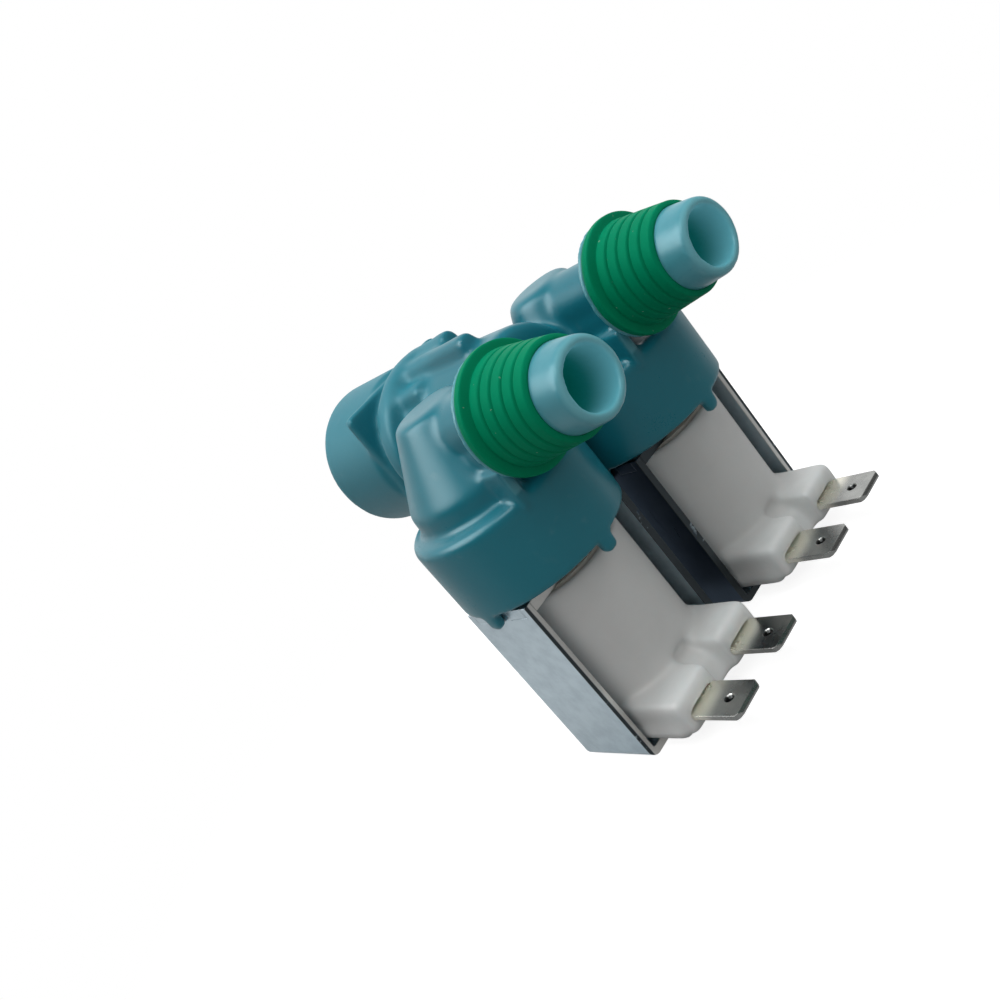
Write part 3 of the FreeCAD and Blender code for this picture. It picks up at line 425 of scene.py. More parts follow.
@dataclass(frozen=True)
class MouldedPolymer:
    """Satin thermoplastic that lets a little light through, with painted light that makes it paler from pale_from
    to pale_to.
    """

    name: str
    colour: Colour
    pale: Colour
    pale_from: float = 1.0
    pale_to: float = 1.1
    roughness: float = 0.42
    through: float = 0.12
    edge: float = 0.25 * MM
    matt_before: float = 0.0
    matt_fade: float = 4.0 * MM
    matt: float = 0.16
    outlets: "OutletTone | None" = None
    flow_marks: float = 90.0
    clouds: float = 420.0
    grains: float = 5200.0
    flow_shade: float = 0.86
    haze: Colour = (0.62, 0.70, 0.72)
    scatter: Colour = (0.5, 0.9, 1.0)
    scatter_depth: float = 1.6 * MM

    def material(self) -> bpy.types.Material:
        """Build the finish.

        Returns:
            The finished material.
        """
        paint = Paint(self.name)
        along, _, _ = paint.place.axes()
        flow = paint.noise(self.flow_marks, 4.0, 0.6)
        cloud = paint.noise(self.clouds, 3.0, 0.5, seed=3.0)
        grain = paint.noise(self.grains, 2.0, 0.6, seed=5.0)
        # painted light: paler on the teal outlet tips, for light through their thin walls, and on the white
        # terminal block, for the light falling on it
        base = paint.mix(along.step(self.pale_from, self.pale_to), self.colour, self.pale)
        base = paint.mix(flow.step(0.35, 0.7) * 0.35, base, shaded(self.colour, self.flow_shade))
        base = paint.mix(cloud.step(0.60, 0.85) * 0.05, base, self.haze)
        shone: "dict[str, Any]" = {}
        if self.outlets is not None:
            base, glow = self.outlets.lay(paint, base, self.pale)
            shone = {"Emission_Color": glow, "Emission_Strength": 1.0}
        rough = self.roughness + (flow - 0.5) * 0.14 + (grain - 0.5) * 0.08
        if self.matt_before > 0:
            fade_from = self.matt_before - self.matt_fade
            rough = rough + along.step(fade_from, fade_from + 1.5 * self.matt_fade, self.matt, 0.0)
        under = paint.rounded(self.edge) if self.edge > 0 else None
        normal = paint.bumped(cloud, 0.05 * MM, 0.35, under)
        normal = paint.bumped(grain, 0.012 * MM, 0.4, normal)
        return paint.finish(
            Base_Color=base, Roughness=rough, Normal=normal, IOR=1.5, Subsurface_Weight=self.through,
            Subsurface_Radius=self.scatter, Subsurface_Scale=self.scatter_depth, **shone,
        )


@dataclass(frozen=True)
class SoftRubber:
    """Moulded rubber with faint dust and a dull bloom."""

    name: str
    colour: Colour
    bloom: Colour
    roughness: float = 0.46
    dust: float = 0.5
    gloss: float = 0.5
    dust_colour: Colour = (0.55, 0.62, 0.50)
    speck_radius: float = 0.17

    def material(self) -> bpy.types.Material:
        """Build the finish.

        Returns:
            The finished material.
        """
        paint = Paint(self.name)
        cloud = paint.noise(260, 4.0, 0.6)
        grain = paint.noise(4200, 2.0, 0.7, seed=2.0)
        specks = paint.node("ShaderNodeTexVoronoi", {}, {
            "Vector": paint.place, "Scale": 900.0, "Randomness": 1.0,
        })
        rare = paint.noise(1500, 1.0, 0.5, seed=9.0).step(0.60, 0.66)
        speck = (self.speck_radius - specks["Distance"]).step(0.0, 0.06) * rare * self.dust
        base = paint.mix(cloud.step(0.4, 0.75) * 0.4, self.colour, self.bloom)
        base = paint.mix(speck, base, self.dust_colour)
        rough = self.roughness + (cloud - 0.5) * 0.22 + (grain - 0.5) * 0.1
        normal = paint.bumped(cloud, 0.06 * MM, 0.3, paint.rounded(0.12 * MM))
        normal = paint.bumped(grain, 0.015 * MM, 0.5, normal)
        return paint.finish(
            Base_Color=base, Roughness=rough, Normal=normal, IOR=1.5, Specular_IOR_Level=self.gloss,
        )


@dataclass(frozen=True)
class SheetMetal:
    """Rolled or plated sheet: fine rolling lines, mottled brightness and a few scratches."""

    name: str
    colour: Colour
    shade: Colour
    roughness: float = 0.34
    lines: Place = (1.0, 1.0, 0.05)
    # painted shade: dark navy on the leg faces within this distance of the middle, between the two brackets
    gap_shade_band: float = 0.0
    # painted shade on the front cut edges begins here
    cut_shade_from: float = 0.0
    dimple_x: float = 0.0
    # painted reflection: the pale colour near the blade roots
    root: "Colour | None" = None
    grain: float = 1.0
    edge: float = 0.18 * MM
    gap_shade: Colour = (0.055, 0.085, 0.125)
    # painted shade: how dark the front cut edges are made
    cut_shade_factor: float = 0.14
    # painted highlight on part of the cut edges
    cut_highlight: Colour = (0.80, 0.79, 0.76)
    leg_inside: float = 26.95 * MM
    leg_from: float = 10.0 * MM
    root_reflection_to: float = 59.5 * MM
    root_reflection_end: float = 62.2 * MM
    # painted shade in the latch dimples
    dimple_shade: Colour = (0.035, 0.037, 0.037)
    dimple_shade_radius: float = 0.60 * MM
    dimple_shade_rim: float = 0.82 * MM

    def bracket_marks(self, paint: Paint, base: Wire) -> Wire:
        """Painted shade on the leg faces between the two brackets, painted shade on the front cut edges broken by
        glints from burrs, and a painted highlight on part of the cut edges.

        Args:
            paint: the material under construction.
            base: the sheet's colour so far.

        Returns:
            The new colour.
        """
        along, across, _ = paint.place.axes()
        if self.gap_shade_band > 0:
            # painted shade: dark navy on the leg faces that look across the space between the two brackets
            inside = (self.gap_shade_band - across.size()).step(-0.3 * MM, 0.3 * MM)
            base = paint.mix(inside, base, self.gap_shade)
        if self.cut_shade_from > 0:
            # painted shade on the front cut edges, broken where the noise of burrs leaves glints, and a painted
            # highlight on the part of the cut edges between leg_from and leg_inside
            cut = along.step(self.cut_shade_from, self.cut_shade_from + 0.12 * MM)
            inner = (self.leg_inside - across.size()).step(-0.12 * MM, 0.12 * MM)
            inner = inner * (across.size() - self.leg_from).step(0.0, MM)
            burr_glint = paint.noise(420, 3.0, 0.7, seed=12.0).step(0.62, 0.70)
            base = paint.mix(cut * (1 - burr_glint * 0.7) * (1 - inner), base, shaded(self.shade, self.cut_shade_factor))
            base = paint.mix(cut * inner, base, self.cut_highlight)
        return base

    def blade_marks(self, paint: Paint, base: Wire) -> Wire:
        """The painted reflection at the root of each blade, and painted shade in each latch dimple.

        Args:
            paint: the material under construction.
            base: the sheet's colour so far.

        Returns:
            The new colour.
        """
        along, across, _ = paint.place.axes()
        if self.root is not None:
            # painted reflection: pale cream near each blade's root, fading out along the blade
            base = paint.mix(along.step(self.root_reflection_to, self.root_reflection_end, 1.0, 0.0), base, self.root)
        if self.dimple_x > 0:
            # painted shade: near-black in each latch dimple
            off = (across.size() - OUTLET_Y).size() - BLADE_Y
            far = along - self.dimple_x
            radius = (off * off + far * far) ** 0.5
            base = paint.mix(radius.step(self.dimple_shade_radius, self.dimple_shade_rim, 1.0, 0.0), base, self.dimple_shade)
        return base

    def material(self) -> bpy.types.Material:
        """Build the finish.

        Returns:
            The finished material.
        """
        paint = Paint(self.name)
        rolled = paint.noise(2600, 3.0, 0.6, paint.stretched(self.lines))
        mottle = paint.noise(330, 4.0, 0.62, seed=4.0)
        scratch = paint.noise(520, 1.0, 0.5, paint.stretched((1.0, 0.30, 0.045), 0.4), 7.0)
        worn = paint.noise(140, 2.0, 0.5, seed=8.0).step(0.52, 0.66)
        line = (0.006 - (scratch - 0.52).size()).step(0.0, 0.006) * worn
        base = paint.mix(mottle.step(0.35, 0.7), self.colour, self.shade)
        base = paint.mix(line * 0.30, base, shaded(self.colour, 1.5))
        base = self.blade_marks(paint, self.bracket_marks(paint, base))
        rough = self.roughness + (mottle - 0.5) * 0.2 + (rolled - 0.5) * 0.16 * self.grain - line * 0.1
        normal = paint.bumped(rolled, 0.01 * MM, 0.35 * self.grain, paint.rounded(self.edge))
        normal = paint.bumped(mottle, 0.05 * MM, 0.25 * self.grain, normal)
        return paint.finish(Base_Color=base, Metallic=1.0, Roughness=rough, Normal=normal)


@dataclass(frozen=True)
class TurnedMetal:
    """Steel with the fine grooves of the lathe round the valve axis."""

    name: str
    colour: Colour
    grooves: float = 5200.0
    roughness: float = 0.3

    def material(self) -> bpy.types.Material:
        """Build the finish.

        Returns:
            The finished material.
        """
        paint = Paint(self.name)
        _, _, up = paint.place.axes()
        wave = (up * self.grooves).sine() * 0.5 + 0.5
        stain = paint.noise(240, 3.0, 0.6)
        base = paint.mix(stain.step(0.4, 0.75) * 0.5, self.colour, shaded(self.colour, 0.6))
        base = paint.mix(wave * 0.15, base, shaded(self.colour, 1.25))
        rough = self.roughness + (stain - 0.5) * 0.25
        normal = paint.bumped(wave, 0.012 * MM, 0.6, paint.rounded(0.1 * MM))
        return paint.finish(Base_Color=base, Metallic=1.0, Roughness=rough, Normal=normal)


class SoftCopy:
    """A moulded piece whose edges and corners are softened, in place of its sharp solid."""

    pull = 0.6

    def __init__(self, node: str, name: str, voxel: float, rounds: int,
                 soften: "Callable[[np.ndarray], np.ndarray]", limit: int,
                 added: "Sequence[tuple[Vector, Vector]]" = ()) -> None:
        """Copy a node's mesh and soften it.

        Args:
            node: the CAD node.
            name: the new piece's name.
            voxel: the size of the new skin's cells.
            rounds: how often the skin is smoothed.
            soften: how much each point, in metres, takes part, from 0 to 1.
            limit: the most triangles the piece may have.
            added: the lowest and highest corners of blocks that the skin takes in.
        """
        mesh = frame["nodes"][node].data.copy()
        self.piece = bpy.data.objects.new(name, mesh)
        bpy.context.scene.collection.objects.link(self.piece)
        work = bmesh.new()
        work.from_mesh(mesh)
        bmesh.ops.remove_doubles(work, verts=work.verts, dist=SAME_PLACE)
        for low, high in added:
            size = Matrix.Diagonal((*(high - low), 1.0))
            bmesh.ops.create_cube(work, size=1.0, matrix=Matrix.Translation((low + high) / 2) @ size)
        work.to_mesh(mesh)
        work.free()
        skin = self.piece.modifiers.new("skin", "REMESH")
        skin.mode = "VOXEL"
        skin.voxel_size = voxel
        self.bake()
        self.smooth(rounds, soften)
        triangles = sum(len(face.vertices) - 2 for face in self.piece.data.polygons)
        if triangles > limit:
            thin = self.piece.modifiers.new("thin", "DECIMATE")
            thin.ratio = limit / triangles
            self.bake()
        self.piece.data.shade_smooth()

    def bake(self) -> None:
        """Turn the piece and its modifiers into a plain mesh."""
        view = bpy.context.evaluated_depsgraph_get()
        mesh = bpy.data.meshes.new_from_object(self.piece.evaluated_get(view))
        self.piece.modifiers.clear()
        self.piece.data = mesh

    def smooth(self, rounds: int, soften: "Callable[[np.ndarray], np.ndarray]") -> None:
        """Even out the skin, each point by its own share.

        Args:
            rounds: how often every point moves towards the mean of its neighbours.
            soften: the share of that move for each point.
        """
        mesh = self.piece.data
        points = np.empty(len(mesh.vertices) * 3)
        mesh.vertices.foreach_get("co", points)
        points = points.reshape(-1, 3)
        ends = np.empty(len(mesh.edges) * 2, dtype=np.int64)
        mesh.edges.foreach_get("vertices", ends)
        first, second = ends[0::2], ends[1::2]
        count = np.bincount(ends, minlength=len(points)).astype(float)
        share = (soften(points) * self.pull)[:, None]
        for _ in range(rounds):
            mean = np.empty_like(points)
            for axis in range(3):
                mean[:, axis] = (
                    np.bincount(first, points[second, axis], len(points))
                    + np.bincount(second, points[first, axis], len(points))
                ) / count
            points += (mean - points) * share
        mesh.vertices.foreach_set("co", points.ravel())
        mesh.update()


def dress(piece: bpy.types.Object, material: bpy.types.Material) -> None:
    """Give a piece one material."""
    piece.data.materials.clear()
    piece.data.materials.append(material)


def dress_node(node: str, material: bpy.types.Material) -> None:
    """Give a CAD node a better material in its own slots.

    Args:
        node: the node's name.
        material: its finish.
    """
    carried = frame["nodes"][node]
    if not carried.material_slots:
        carried.data.materials.append(material)
    for slot in carried.material_slots:
        slot.material = material


def rise(values: np.ndarray, start: float, width: float, least: float = 0.0) -> np.ndarray:
    """A straight climb to 1 from start over a width, never less than the least value."""
    return np.clip((values - start) / width, least, 1.0)


def fall(values: np.ndarray, end: float, width: float, least: float = 0.0) -> np.ndarray:
    """A straight drop from 1 that ends after a width at end, never less than the least value."""
    return np.clip((end - values) / width, least, 1.0)


@dataclass
class ValveMoulding:
    """The teal moulding with its inlet, cross chamber, drums and outlets."""

    voxel: float = 0.36 * MM
    rounds: int = 28
    most_faces: int = 190_000
    shoulder: float = -4.4 * MM
    drum_share: float = 0.4
    disc_from: float = 55.6 * MM
    outlet_share: float = 0.45
    even_share: float = 0.34
    hood_share: float = 0.22
    hood_from: float = 40.0 * MM
    plate_from: float = 14.6 * MM
    plate_to: float = 27.0 * MM
    plate_firm: float = 0.62
    ribs_from: float = 18.0 * MM
    ribs_to: float = 46.0 * MM
    ribs_half: float = 9.0 * MM
    ribs_above: float = 4.0 * MM
    web_low: Place = (50.0 * MM, -6.35 * MM, -6.2 * MM)
    web_high: Place = (55.55 * MM, -4.55 * MM, 0.0)
    web_share: float = 0.09
    web_beside: float = 1.3 * MM
    web_from: float = 52.0 * MM
    web_above: float = -6.4 * MM
    web_below: float = -2.0 * MM
    roof_low: float = -6.4 * MM
    roof_high: float = -4.4 * MM
    roof_parts: tuple[Footprint, ...] = (
        (47.0 * MM, 52.4 * MM, 6.7 * MM, 23.3 * MM),
        (41.5 * MM, 47.8 * MM, 22.6 * MM, 25.2 * MM),
        (41.5 * MM, 47.8 * MM, 4.8 * MM, 7.4 * MM),
    )

    def soften(self, points: np.ndarray) -> np.ndarray:
        """Soft between shoulder and hoods, firm at rims, discs and spigots.

        Args:
            points: the skin's points, in metres.

        Returns:
            The share of the smoothing for each point, from 0 to 1.
        """
        along, across, up = points.T
        high = rise(up, self.shoulder - 1.5 * MM, 2.0 * MM, self.drum_share)
        front = fall(along, self.disc_from, 1.2 * MM, self.outlet_share)
        hood = rise(along, self.hood_from, 3.0 * MM) * rise(up, 0.0, 2.0 * MM)
        even = (self.even_share + self.hood_share * hood) * np.minimum(high, front)
        plate = rise(along, self.plate_from, 1.0 * MM) * fall(along, self.plate_to, 2.0 * MM)
        even = even * (1.0 - self.plate_firm * plate)
        ribs = rise(along, self.ribs_from, 2.0 * MM) * fall(along, self.ribs_to, 2.0 * MM)
        ribs *= fall(np.abs(across), self.ribs_half, 2.0 * MM) * rise(up, self.ribs_above, 2.0 * MM)
        offset = np.where(across < 0, across + OUTLET_Y, across - OUTLET_Y)
        middle = (self.web_low[1] + self.web_high[1]) / 2
        web = (np.abs(offset - middle) < self.web_beside) & (along > self.web_from)
        web &= (up > self.web_above) & (up < self.web_below)
        return np.where(web, self.web_share, np.maximum(even, ribs))

    def blocks(self) -> "list[tuple[Vector, Vector]]":
        """The web under each stop disc and the roof beside the right hood.

        Returns:
            The lowest and highest corners of each block.
        """
        shifts = [Vector((0.0, side.value * OUTLET_Y, 0.0)) for side in Side]
        webs = [(Vector(self.web_low) + shift, Vector(self.web_high) + shift) for shift in shifts]
        roof = [
            (Vector((back, left, self.roof_low)), Vector((front, right, self.roof_high)))
            for back, front, left, right in self.roof_parts
        ]
        return webs + roof

    def build(self, material: bpy.types.Material) -> None:
        """Make and dress the moulding.

        Args:
            material: its finish.
        """
        copy = SoftCopy("valve_body", "valve_moulding", self.voxel, self.rounds, self.soften,
                        self.most_faces, self.blocks())
        dress(copy.piece, material)
        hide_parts("valve_body")
        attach(copy.piece, "valve")
        log.info("valve moulding: %d faces", len(copy.piece.data.polygons))


@dataclass
class OutletSleeve:
    """The ribbed rubber sleeve on one outlet."""

    side: Side
    back: float = 57.6 * MM
    length: float = 11.6 * MM
    flange: float = 8.8 * MM
    flange_thick: float = 2.0 * MM
    root: float = 7.7 * MM
    nose: float = 6.5 * MM
    spigot: float = 5.78 * MM
    groove: float = 0.5 * MM
    ribs: int = 5
    rows: int = 150
    around: int = 160
    face: float = 0.06
    face_bulge: float = 0.7
    past_end: float = 1.001
    valley_wide: float = 0.17
    valley_sharp: float = 1.6
    uneven: float = 0.10 * MM
    lip: float = 0.45 * MM
    step_back: float = -0.035
    step_front: float = 0.006

    def build(self, material: bpy.types.Material) -> None:
        """Make the sleeve with a node tree and dress it.

        Args:
            material: its finish.
        """
        group = bpy.data.node_groups.new(f"ribbed_sleeve_{self.side.word}", "GeometryNodeTree")
        sizes = {
            "Back": self.back, "Length": self.length, "Flange": self.flange, "Flange Thick": self.flange_thick,
            "Root": self.root, "Nose": self.nose, "Spigot": self.spigot, "Groove": self.groove,
            "Ribs": float(self.ribs), "Centre Y": OUTLET_Y * self.side.value, "Centre Z": OUTLET_Z,
        }
        face = group.interface
        keys = {
            name: face.new_socket(name, in_out="INPUT", socket_type="NodeSocketFloat").identifier
            for name in sizes
        }
        finish = face.new_socket("Finish", in_out="INPUT", socket_type="NodeSocketMaterial").identifier
        face.new_socket("Mesh", in_out="OUTPUT", socket_type="NodeSocketGeometry")
        self.grow(Tree(group))
        piece = bpy.data.objects.new(f"ribbed_sleeve_{self.side.word}", bpy.data.meshes.new("sleeve"))
        bpy.context.scene.collection.objects.link(piece)
        grown = piece.modifiers.new("ribs", "NODES")
        grown.node_group = group
        for name, value in sizes.items():
            grown[keys[name]] = value
        grown[finish] = material
        view = bpy.context.evaluated_depsgraph_get()
        mesh = bpy.data.meshes.new_from_object(piece.evaluated_get(view))
        piece.modifiers.clear()
        piece.data = mesh
        mesh.shade_smooth()
        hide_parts(f"outlet_sleeve_{self.side.word}")
        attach(piece, "valve")
        log.info("sleeve %s: %d faces", self.side.word, len(mesh.polygons))

    def outline(self, tree: Tree, given: Made, s: Wire, angle: Wire) -> Wire:
        """The outer radius along the sleeve: flange, ribs, taper and slight unevenness.

        Args:
            tree: the sleeve's tree.
            given: the tree's inputs.
            s: the way along the sleeve, from 0 to 1.
            angle: the way round it in radians.

        Returns:
            The radius in metres.
        """
        split = given["Flange Thick"] / given["Length"]
        run = ((s - split) / (1 - split)).most(0.0).least(1.0)
        phase = (run * given["Ribs"]).fraction()
        near = phase.least(1 - phase)
        valley = (1 - (near / self.valley_wide).least(1.0)) ** self.valley_sharp
        ring = tree.node("ShaderNodeCombineXYZ", {}, {"X": angle.cosine(), "Y": angle.sine(), "Z": s})
        wander = tree.node("ShaderNodeTexNoise", {"noise_dimensions": "4D"}, {
            "Vector": ring["Vector"], "Scale": 1.0, "Detail": 2.0, "W": 2.0 + self.side.value,
        })["Fac"] - 0.5
        taper = given["Root"] + (given["Nose"] - given["Root"]) * run
        barrel = taper - valley * given["Groove"] + wander * self.uneven
        crown = given["Flange"] - (1 - (s / (split * 0.5)).least(1.0)) ** 2 * self.lip
        return crown + (barrel - crown) * (s - split).step(self.step_back, self.step_front)

    def grow(self, tree: Tree) -> None:
        """A grid rolled round the outlet, with the ribs in its radius.

        The grid's rows run from the spigot up the back face, along the ribs
        and down the nose. Its last row goes back to the first one, which
        closes the sleeve along the spigot.

        Args:
            tree: the empty tree, with its sockets already named.
        """
        given = tree.node("NodeGroupInput")
        grid = tree.node("GeometryNodeMeshGrid", {}, {
            "Size X": 1.0, "Size Y": 1.0, "Vertices X": self.rows, "Vertices Y": self.around,
        })
        u, v, _ = tree.node("GeometryNodeInputPosition")["Position"].axes()
        u = (u + 0.5) * ((self.rows - 1) / (self.rows - 2))
        u = u * (1 - u.above(self.past_end))
        angle = (v + 0.5) * (2 * math.pi)
        s = ((u - self.face) / (1 - 2 * self.face)).most(0.0).least(1.0)
        closed = (u / self.face).least(1.0).most(0.0) * ((1 - u) / self.face).least(1.0).most(0.0)
        outer = self.outline(tree, given, s, angle)
        radius = given["Spigot"] + (outer - given["Spigot"]) * closed ** self.face_bulge
        place = tree.node("ShaderNodeCombineXYZ", {}, {
            "X": given["Back"] + given["Length"] * s,
            "Y": given["Centre Y"] + radius * angle.cosine(),
            "Z": given["Centre Z"] + radius * angle.sine(),
        })["Vector"]
        rolled = tree.node("GeometryNodeSetPosition", {}, {"Geometry": grid["Mesh"], "Position": place})
        sealed = tree.node("GeometryNodeMergeByDistance", {}, {
            "Geometry": rolled["Geometry"], "Distance": SAME_PLACE,
        })
        turned = tree.node("GeometryNodeFlipFaces", {}, {"Mesh": sealed["Geometry"]})
        real = tree.node("GeometryNodeRealizeInstances", {}, {"Geometry": turned["Mesh"]})
        dressed = tree.node("GeometryNodeSetMaterial", {}, {
            "Geometry": real["Geometry"], "Material": given["Finish"],
        })
        tree.node("NodeGroupOutput", {}, {"Mesh": dressed["Geometry"]})


@dataclass
class CoilMoulding:
    """The white moulding of one coil with its terminal block."""

    side: Side
    voxel: float = 0.28 * MM
    rounds: int = 30
    most_faces: int = 150_000
    axis_x: float = 42.4 * MM
    block_from: float = 4.0 * MM
    shell_share: float = 0.15

    def soften(self, points: np.ndarray) -> np.ndarray:
        """Soft at the terminal block, firmer on the round shell."""
        return rise(points[:, 0] - self.axis_x, self.block_from, 4.0 * MM, self.shell_share)

    def build(self, material: bpy.types.Material) -> None:
        """Make and dress the moulding.

        Args:
            material: its finish.
        """
        node = f"coil_overmould_{self.side.word}"
        copy = SoftCopy(node, f"coil_moulding_{self.side.word}", self.voxel, self.rounds, self.soften,
                        self.most_faces)
        dress(copy.piece, material)
        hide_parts(node)
        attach(copy.piece, "valve")
        log.info("coil moulding %s: %d faces", self.side.word, len(copy.piece.data.polygons))


@dataclass(frozen=True)
class Softbox:
    """A rectangular lamp that faces the part, in metres and watts."""

    name: str
    towards: Place
    distance: float
    wide: float
    high: float
    power: float
    colour: Colour = WHITE


@dataclass(frozen=True)
class Reflector:
    """A bright patch of the studio that only reflections see."""

    towards: Place
    low: float
    high: float
    strength: float


@dataclass
class Studio:
    """Floor, lamps and camera of the photograph."""

    eye: Place = (163.83 * MM, -91.96 * MM, 35.61 * MM)
    right: Place = (0.56441, 0.54804, -0.61733)
    down: Place = (-0.15935, -0.66143, -0.73288)
    ahead: Place = (-0.80997, 0.51202, -0.28599)
    lens: float = 38.80
    sensor: float = 36.0
    floor_z: float = -46.8 * MM
    floor_reach: float = 4.0
    floor_colour: Colour = (0.26, 0.26, 0.26)
    shadow_colour: Colour = (0.42, 0.42, 0.42)
    floor_glow: float = 0.86
    shadow_to: float = 50.0 * MM
    white_from: float = 130.0 * MM
    middle: Place = (42.0 * MM, 0.0, -12.0 * MM)
    dim_low: float = 0.17
    dim_high: float = 0.30
    fill: float = 0.43
    fill_towards: Place = (0.72, 0.60, 0.35)
    low_gloss: float = 0.33
    lamps: tuple[Softbox, ...] = (
        Softbox("softbox", (0.20, -0.62, 0.76), 0.55, 0.34, 0.40, 0.66),
        Softbox("top_fill", (-0.10, 0.10, 1.0), 0.7, 0.6, 0.6, 3.5, (0.95, 0.98, 1.0)),
    )
    reflectors: tuple[Reflector, ...] = (
        Reflector((-0.28, -0.60, 0.75), 0.85, 0.98, 6.0),
        Reflector((0.40, -0.34, 0.85), 0.955, 0.992, 4.5),
    )

    def camera(self) -> None:
        """The camera at the photograph's place."""
        data = bpy.data.cameras.new("camera")
        data.lens = self.lens
        data.sensor_width = self.sensor
        data.clip_start = 2.0 * MM
        data.clip_end = 20.0
        camera = bpy.data.objects.new("camera", data)
        bpy.context.scene.collection.objects.link(camera)
        x_axis, y_axis, z_axis = Vector(self.right), -Vector(self.down), -Vector(self.ahead)
        turn = Matrix((x_axis, y_axis, z_axis)).transposed()
        camera.matrix_world = Matrix.Translation(self.eye) @ turn.to_4x4()
        bpy.context.scene.camera = camera

    def light(self, given: Softbox) -> None:
        """Hang one softbox, which reflections don't see.

        Args:
            given: its place, size, power and colour.
        """
        data = bpy.data.lights.new(given.name, "AREA")
        data.shape = "RECTANGLE"
        data.size = given.wide
        data.size_y = given.high
        data.energy = given.power
        data.color = given.colour
        lamp = bpy.data.objects.new(given.name, data)
        lamp.visible_glossy = False
        bpy.context.scene.collection.objects.link(lamp)
        way = Vector(given.towards).normalized()
        lamp.location = Vector(self.middle) + way * given.distance
        lamp.rotation_euler = way.to_track_quat("Z", "Y").to_euler()

    def world(self) -> None:
        """White for the camera, soft light on the part, and a backdrop and reflectors in its gloss."""
        world = bpy.data.worlds.new("surround")
        world.use_nodes = True
        tree = Tree(world.node_tree)
        ray = tree.node("ShaderNodeLightPath")
        seen = ray["Is Camera Ray"].most(ray["Is Transmission Ray"])
        along, across, up = tree.node("ShaderNodeTexCoord")["Generated"].axes()
        x, y, z = self.fill_towards
        dim = up.step(-0.6, 0.9, self.dim_low, self.dim_high)
        dim = dim + (along * x + across * y + up * z).step(-0.1, 1.0) * self.fill
        gloss = (across * 0.1 - along * 0.8).step(0.1, 0.7, 0.10, 1.0)
        for patch in self.reflectors:
            x, y, z = patch.towards
            gloss = gloss + (along * x + across * y + up * z).step(patch.low, patch.high) * patch.strength
        level = (dim + (gloss - dim) * ray["Is Glossy Ray"]).most(seen)
        glow = tree.node("ShaderNodeBackground", {}, {"Color": WHITE, "Strength": level})
        tree.node("ShaderNodeOutputWorld", {}, {"Surface": glow["Background"]})
        bpy.context.scene.world = world

    def floor(self) -> None:
        """A plain pale floor that takes the part's shadow and runs out into white."""
        paint = Paint("pale_floor")
        ray = paint.node("ShaderNodeLightPath")
        along, across, _ = paint.place.axes()
        out = along - self.middle[0]
        behind = (across * 0.1 - out * 0.8).step(-45 * MM, 20 * MM) * ray["Is Glossy Ray"] * self.low_gloss
        seen = ray["Is Camera Ray"].most(ray["Is Transmission Ray"]).most(behind)
        away = ((out * out + across * across) ** 0.5).step(self.shadow_to, self.white_from)
        matt = paint.node("ShaderNodeBsdfDiffuse", {}, {"Color": self.floor_colour})
        faint = paint.node("ShaderNodeBsdfDiffuse", {}, {"Color": self.shadow_colour})
        low = paint.node("ShaderNodeEmission", {}, {"Color": WHITE, "Strength": self.floor_glow})
        white = paint.node("ShaderNodeEmission", {}, {"Color": WHITE, "Strength": 1.0})
        near = paint.node("ShaderNodeAddShader", {}, {0: faint["BSDF"], 1: low["Emission"]})
        shown = paint.node("ShaderNodeMixShader", {}, {0: away, 1: near["Shader"], 2: white["Emission"]})
        both = paint.node("ShaderNodeMixShader", {}, {0: seen, 1: matt["BSDF"], 2: shown["Shader"]})
        paint.node("ShaderNodeOutputMaterial", {}, {"Surface": both["Shader"]})
        reach = self.floor_reach
        corners = [(x * reach, y * reach, self.floor_z) for x, y in ((-1, -1), (1, -1), (1, 1), (-1, 1))]
        mesh = bpy.data.meshes.new("floor")
        mesh.from_pydata(corners, [], [(0, 1, 2, 3)])
        floor = bpy.data.objects.new("floor", mesh)
        bpy.context.scene.collection.objects.link(floor)
        dress(floor, paint.material)

    def build(self) -> None:
        """Everything round the part."""
        bpy.context.scene.view_settings.view_transform = "Standard"
        self.camera()
        self.world()
        self.floor()
        for lamp in self.lamps:
            self.light(lamp)
        log.info("studio ready")


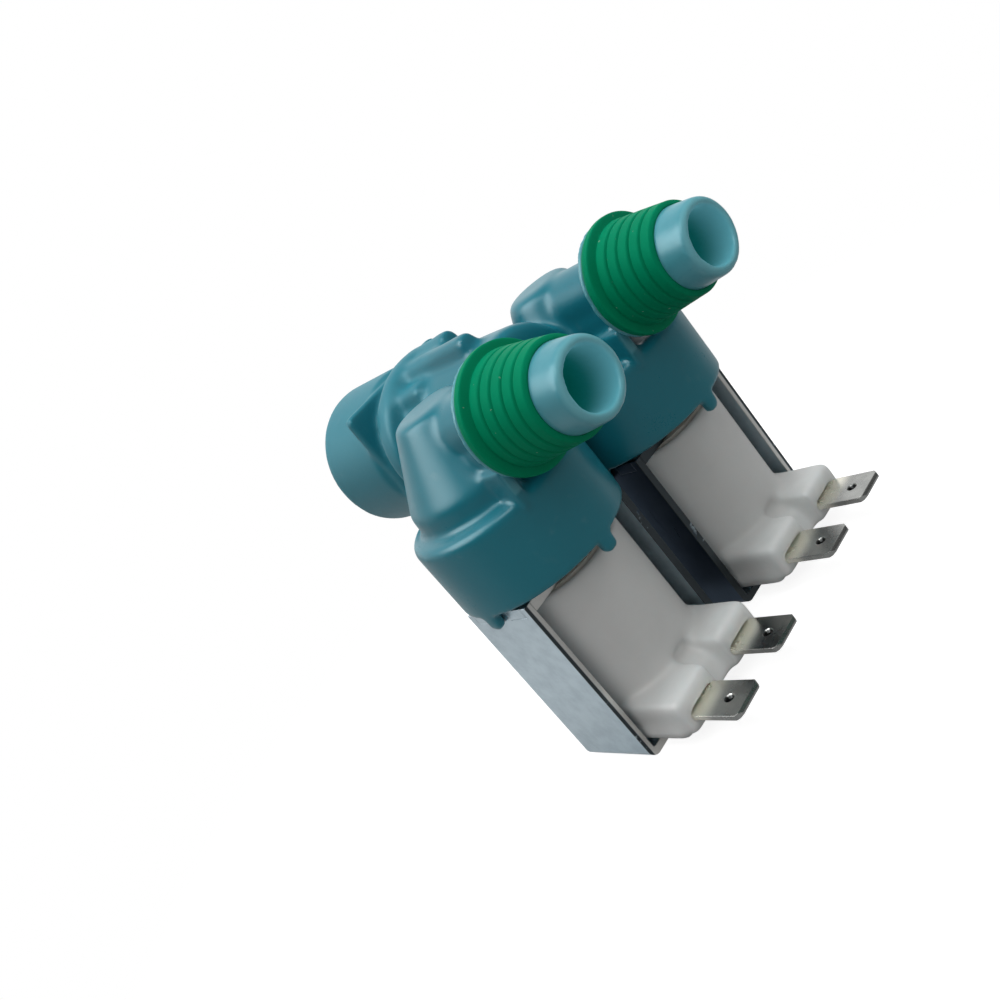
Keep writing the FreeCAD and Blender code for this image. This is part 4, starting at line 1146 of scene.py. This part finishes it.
@dataclass
class Palette:
    """Every finish of the part, by the record's slot."""

    made: dict[str, bpy.types.Material] = field(default_factory=dict)

    def build(self) -> None:
        """Make all the materials."""
        recipes = {
            # the pale colours of the teal and white mouldings are painted light on the outlet tips and the
            # terminal block
            "body": MouldedPolymer("teal_polymer", (0.009, 0.180, 0.236), (0.100, 0.370, 0.440), 60 * MM, 72 * MM,
                                   0.30, 0.12, edge=0.0, matt_before=33 * MM, outlets=OutletTone()),
            "sleeve": SoftRubber("green_rubber", (0.0, 0.225, 0.108), (0.0, 0.260, 0.128), 0.5, 0.3, 0.04),
            "overmould": MouldedPolymer("white_polymer", (0.61, 0.615, 0.605), (0.80, 0.82, 0.81),
                                        51.5 * MM, 57 * MM, 0.45, 0.2, edge=0.0),
            # the zinc carries painted shade between the two brackets and on the front cut edges
            "zinc": SheetMetal("bright_zinc", (0.61, 0.72, 0.78), (0.52, 0.62, 0.68), gap_shade_band=3.15 * MM,
                               cut_shade_from=49.05 * MM),
            # the tinned brass carries a painted reflection at the blade roots and painted shade in the latch
            # dimples
            "tin": SheetMetal("tinned_brass", (0.52, 0.53, 0.51), (0.40, 0.41, 0.40), 0.26, (0.05, 1.0, 1.0),
                              dimple_x=63.1 * MM, root=(0.97, 0.95, 0.84), grain=0.25),
            "steel": TurnedMetal("turned_steel", (0.55, 0.56, 0.57)),
            "spring": TurnedMetal("spring_wire", (0.62, 0.62, 0.62), 2000.0, 0.25),
            "copper": TurnedMetal("wound_copper", (0.62, 0.27, 0.12), 20_000.0, 0.35),
            "bobbin": MouldedPolymer("bobbin_polymer", (0.62, 0.60, 0.54), (0.62, 0.60, 0.54)),
            "guide": MouldedPolymer("guide_polymer", (0.50, 0.51, 0.50), (0.50, 0.51, 0.50)),
            "insert": MouldedPolymer("insert_polymer", (0.60, 0.60, 0.55), (0.60, 0.60, 0.55)),
            "rubber": SoftRubber("black_rubber", (0.020, 0.020, 0.022), (0.040, 0.040, 0.042), 0.5, 0.2),
            "strainer": MouldedPolymer("strainer_polymer", (0.62, 0.64, 0.63), (0.62, 0.64, 0.63)),
        }
        for slot, recipe in recipes.items():
            self.made[slot] = recipe.material()

    def dress_nodes(self) -> None:
        """Give every CAD node its finish."""
        for row in frame["record"]["subparts"]:
            dress_node(row["node"], self.made[row["material_slot"]])


def main() -> None:
    """Build the dressing piece by piece."""
    logging.basicConfig(level=logging.INFO, format="%(name)s: %(message)s")
    palette = Palette()
    palette.build()
    palette.dress_nodes()
    Studio().build()
    ValveMoulding().build(palette.made["body"])
    for side in Side:
        OutletSleeve(side).build(palette.made["sleeve"])
        CoilMoulding(side).build(palette.made["overmould"])


if __name__ == "__main__":
    main()
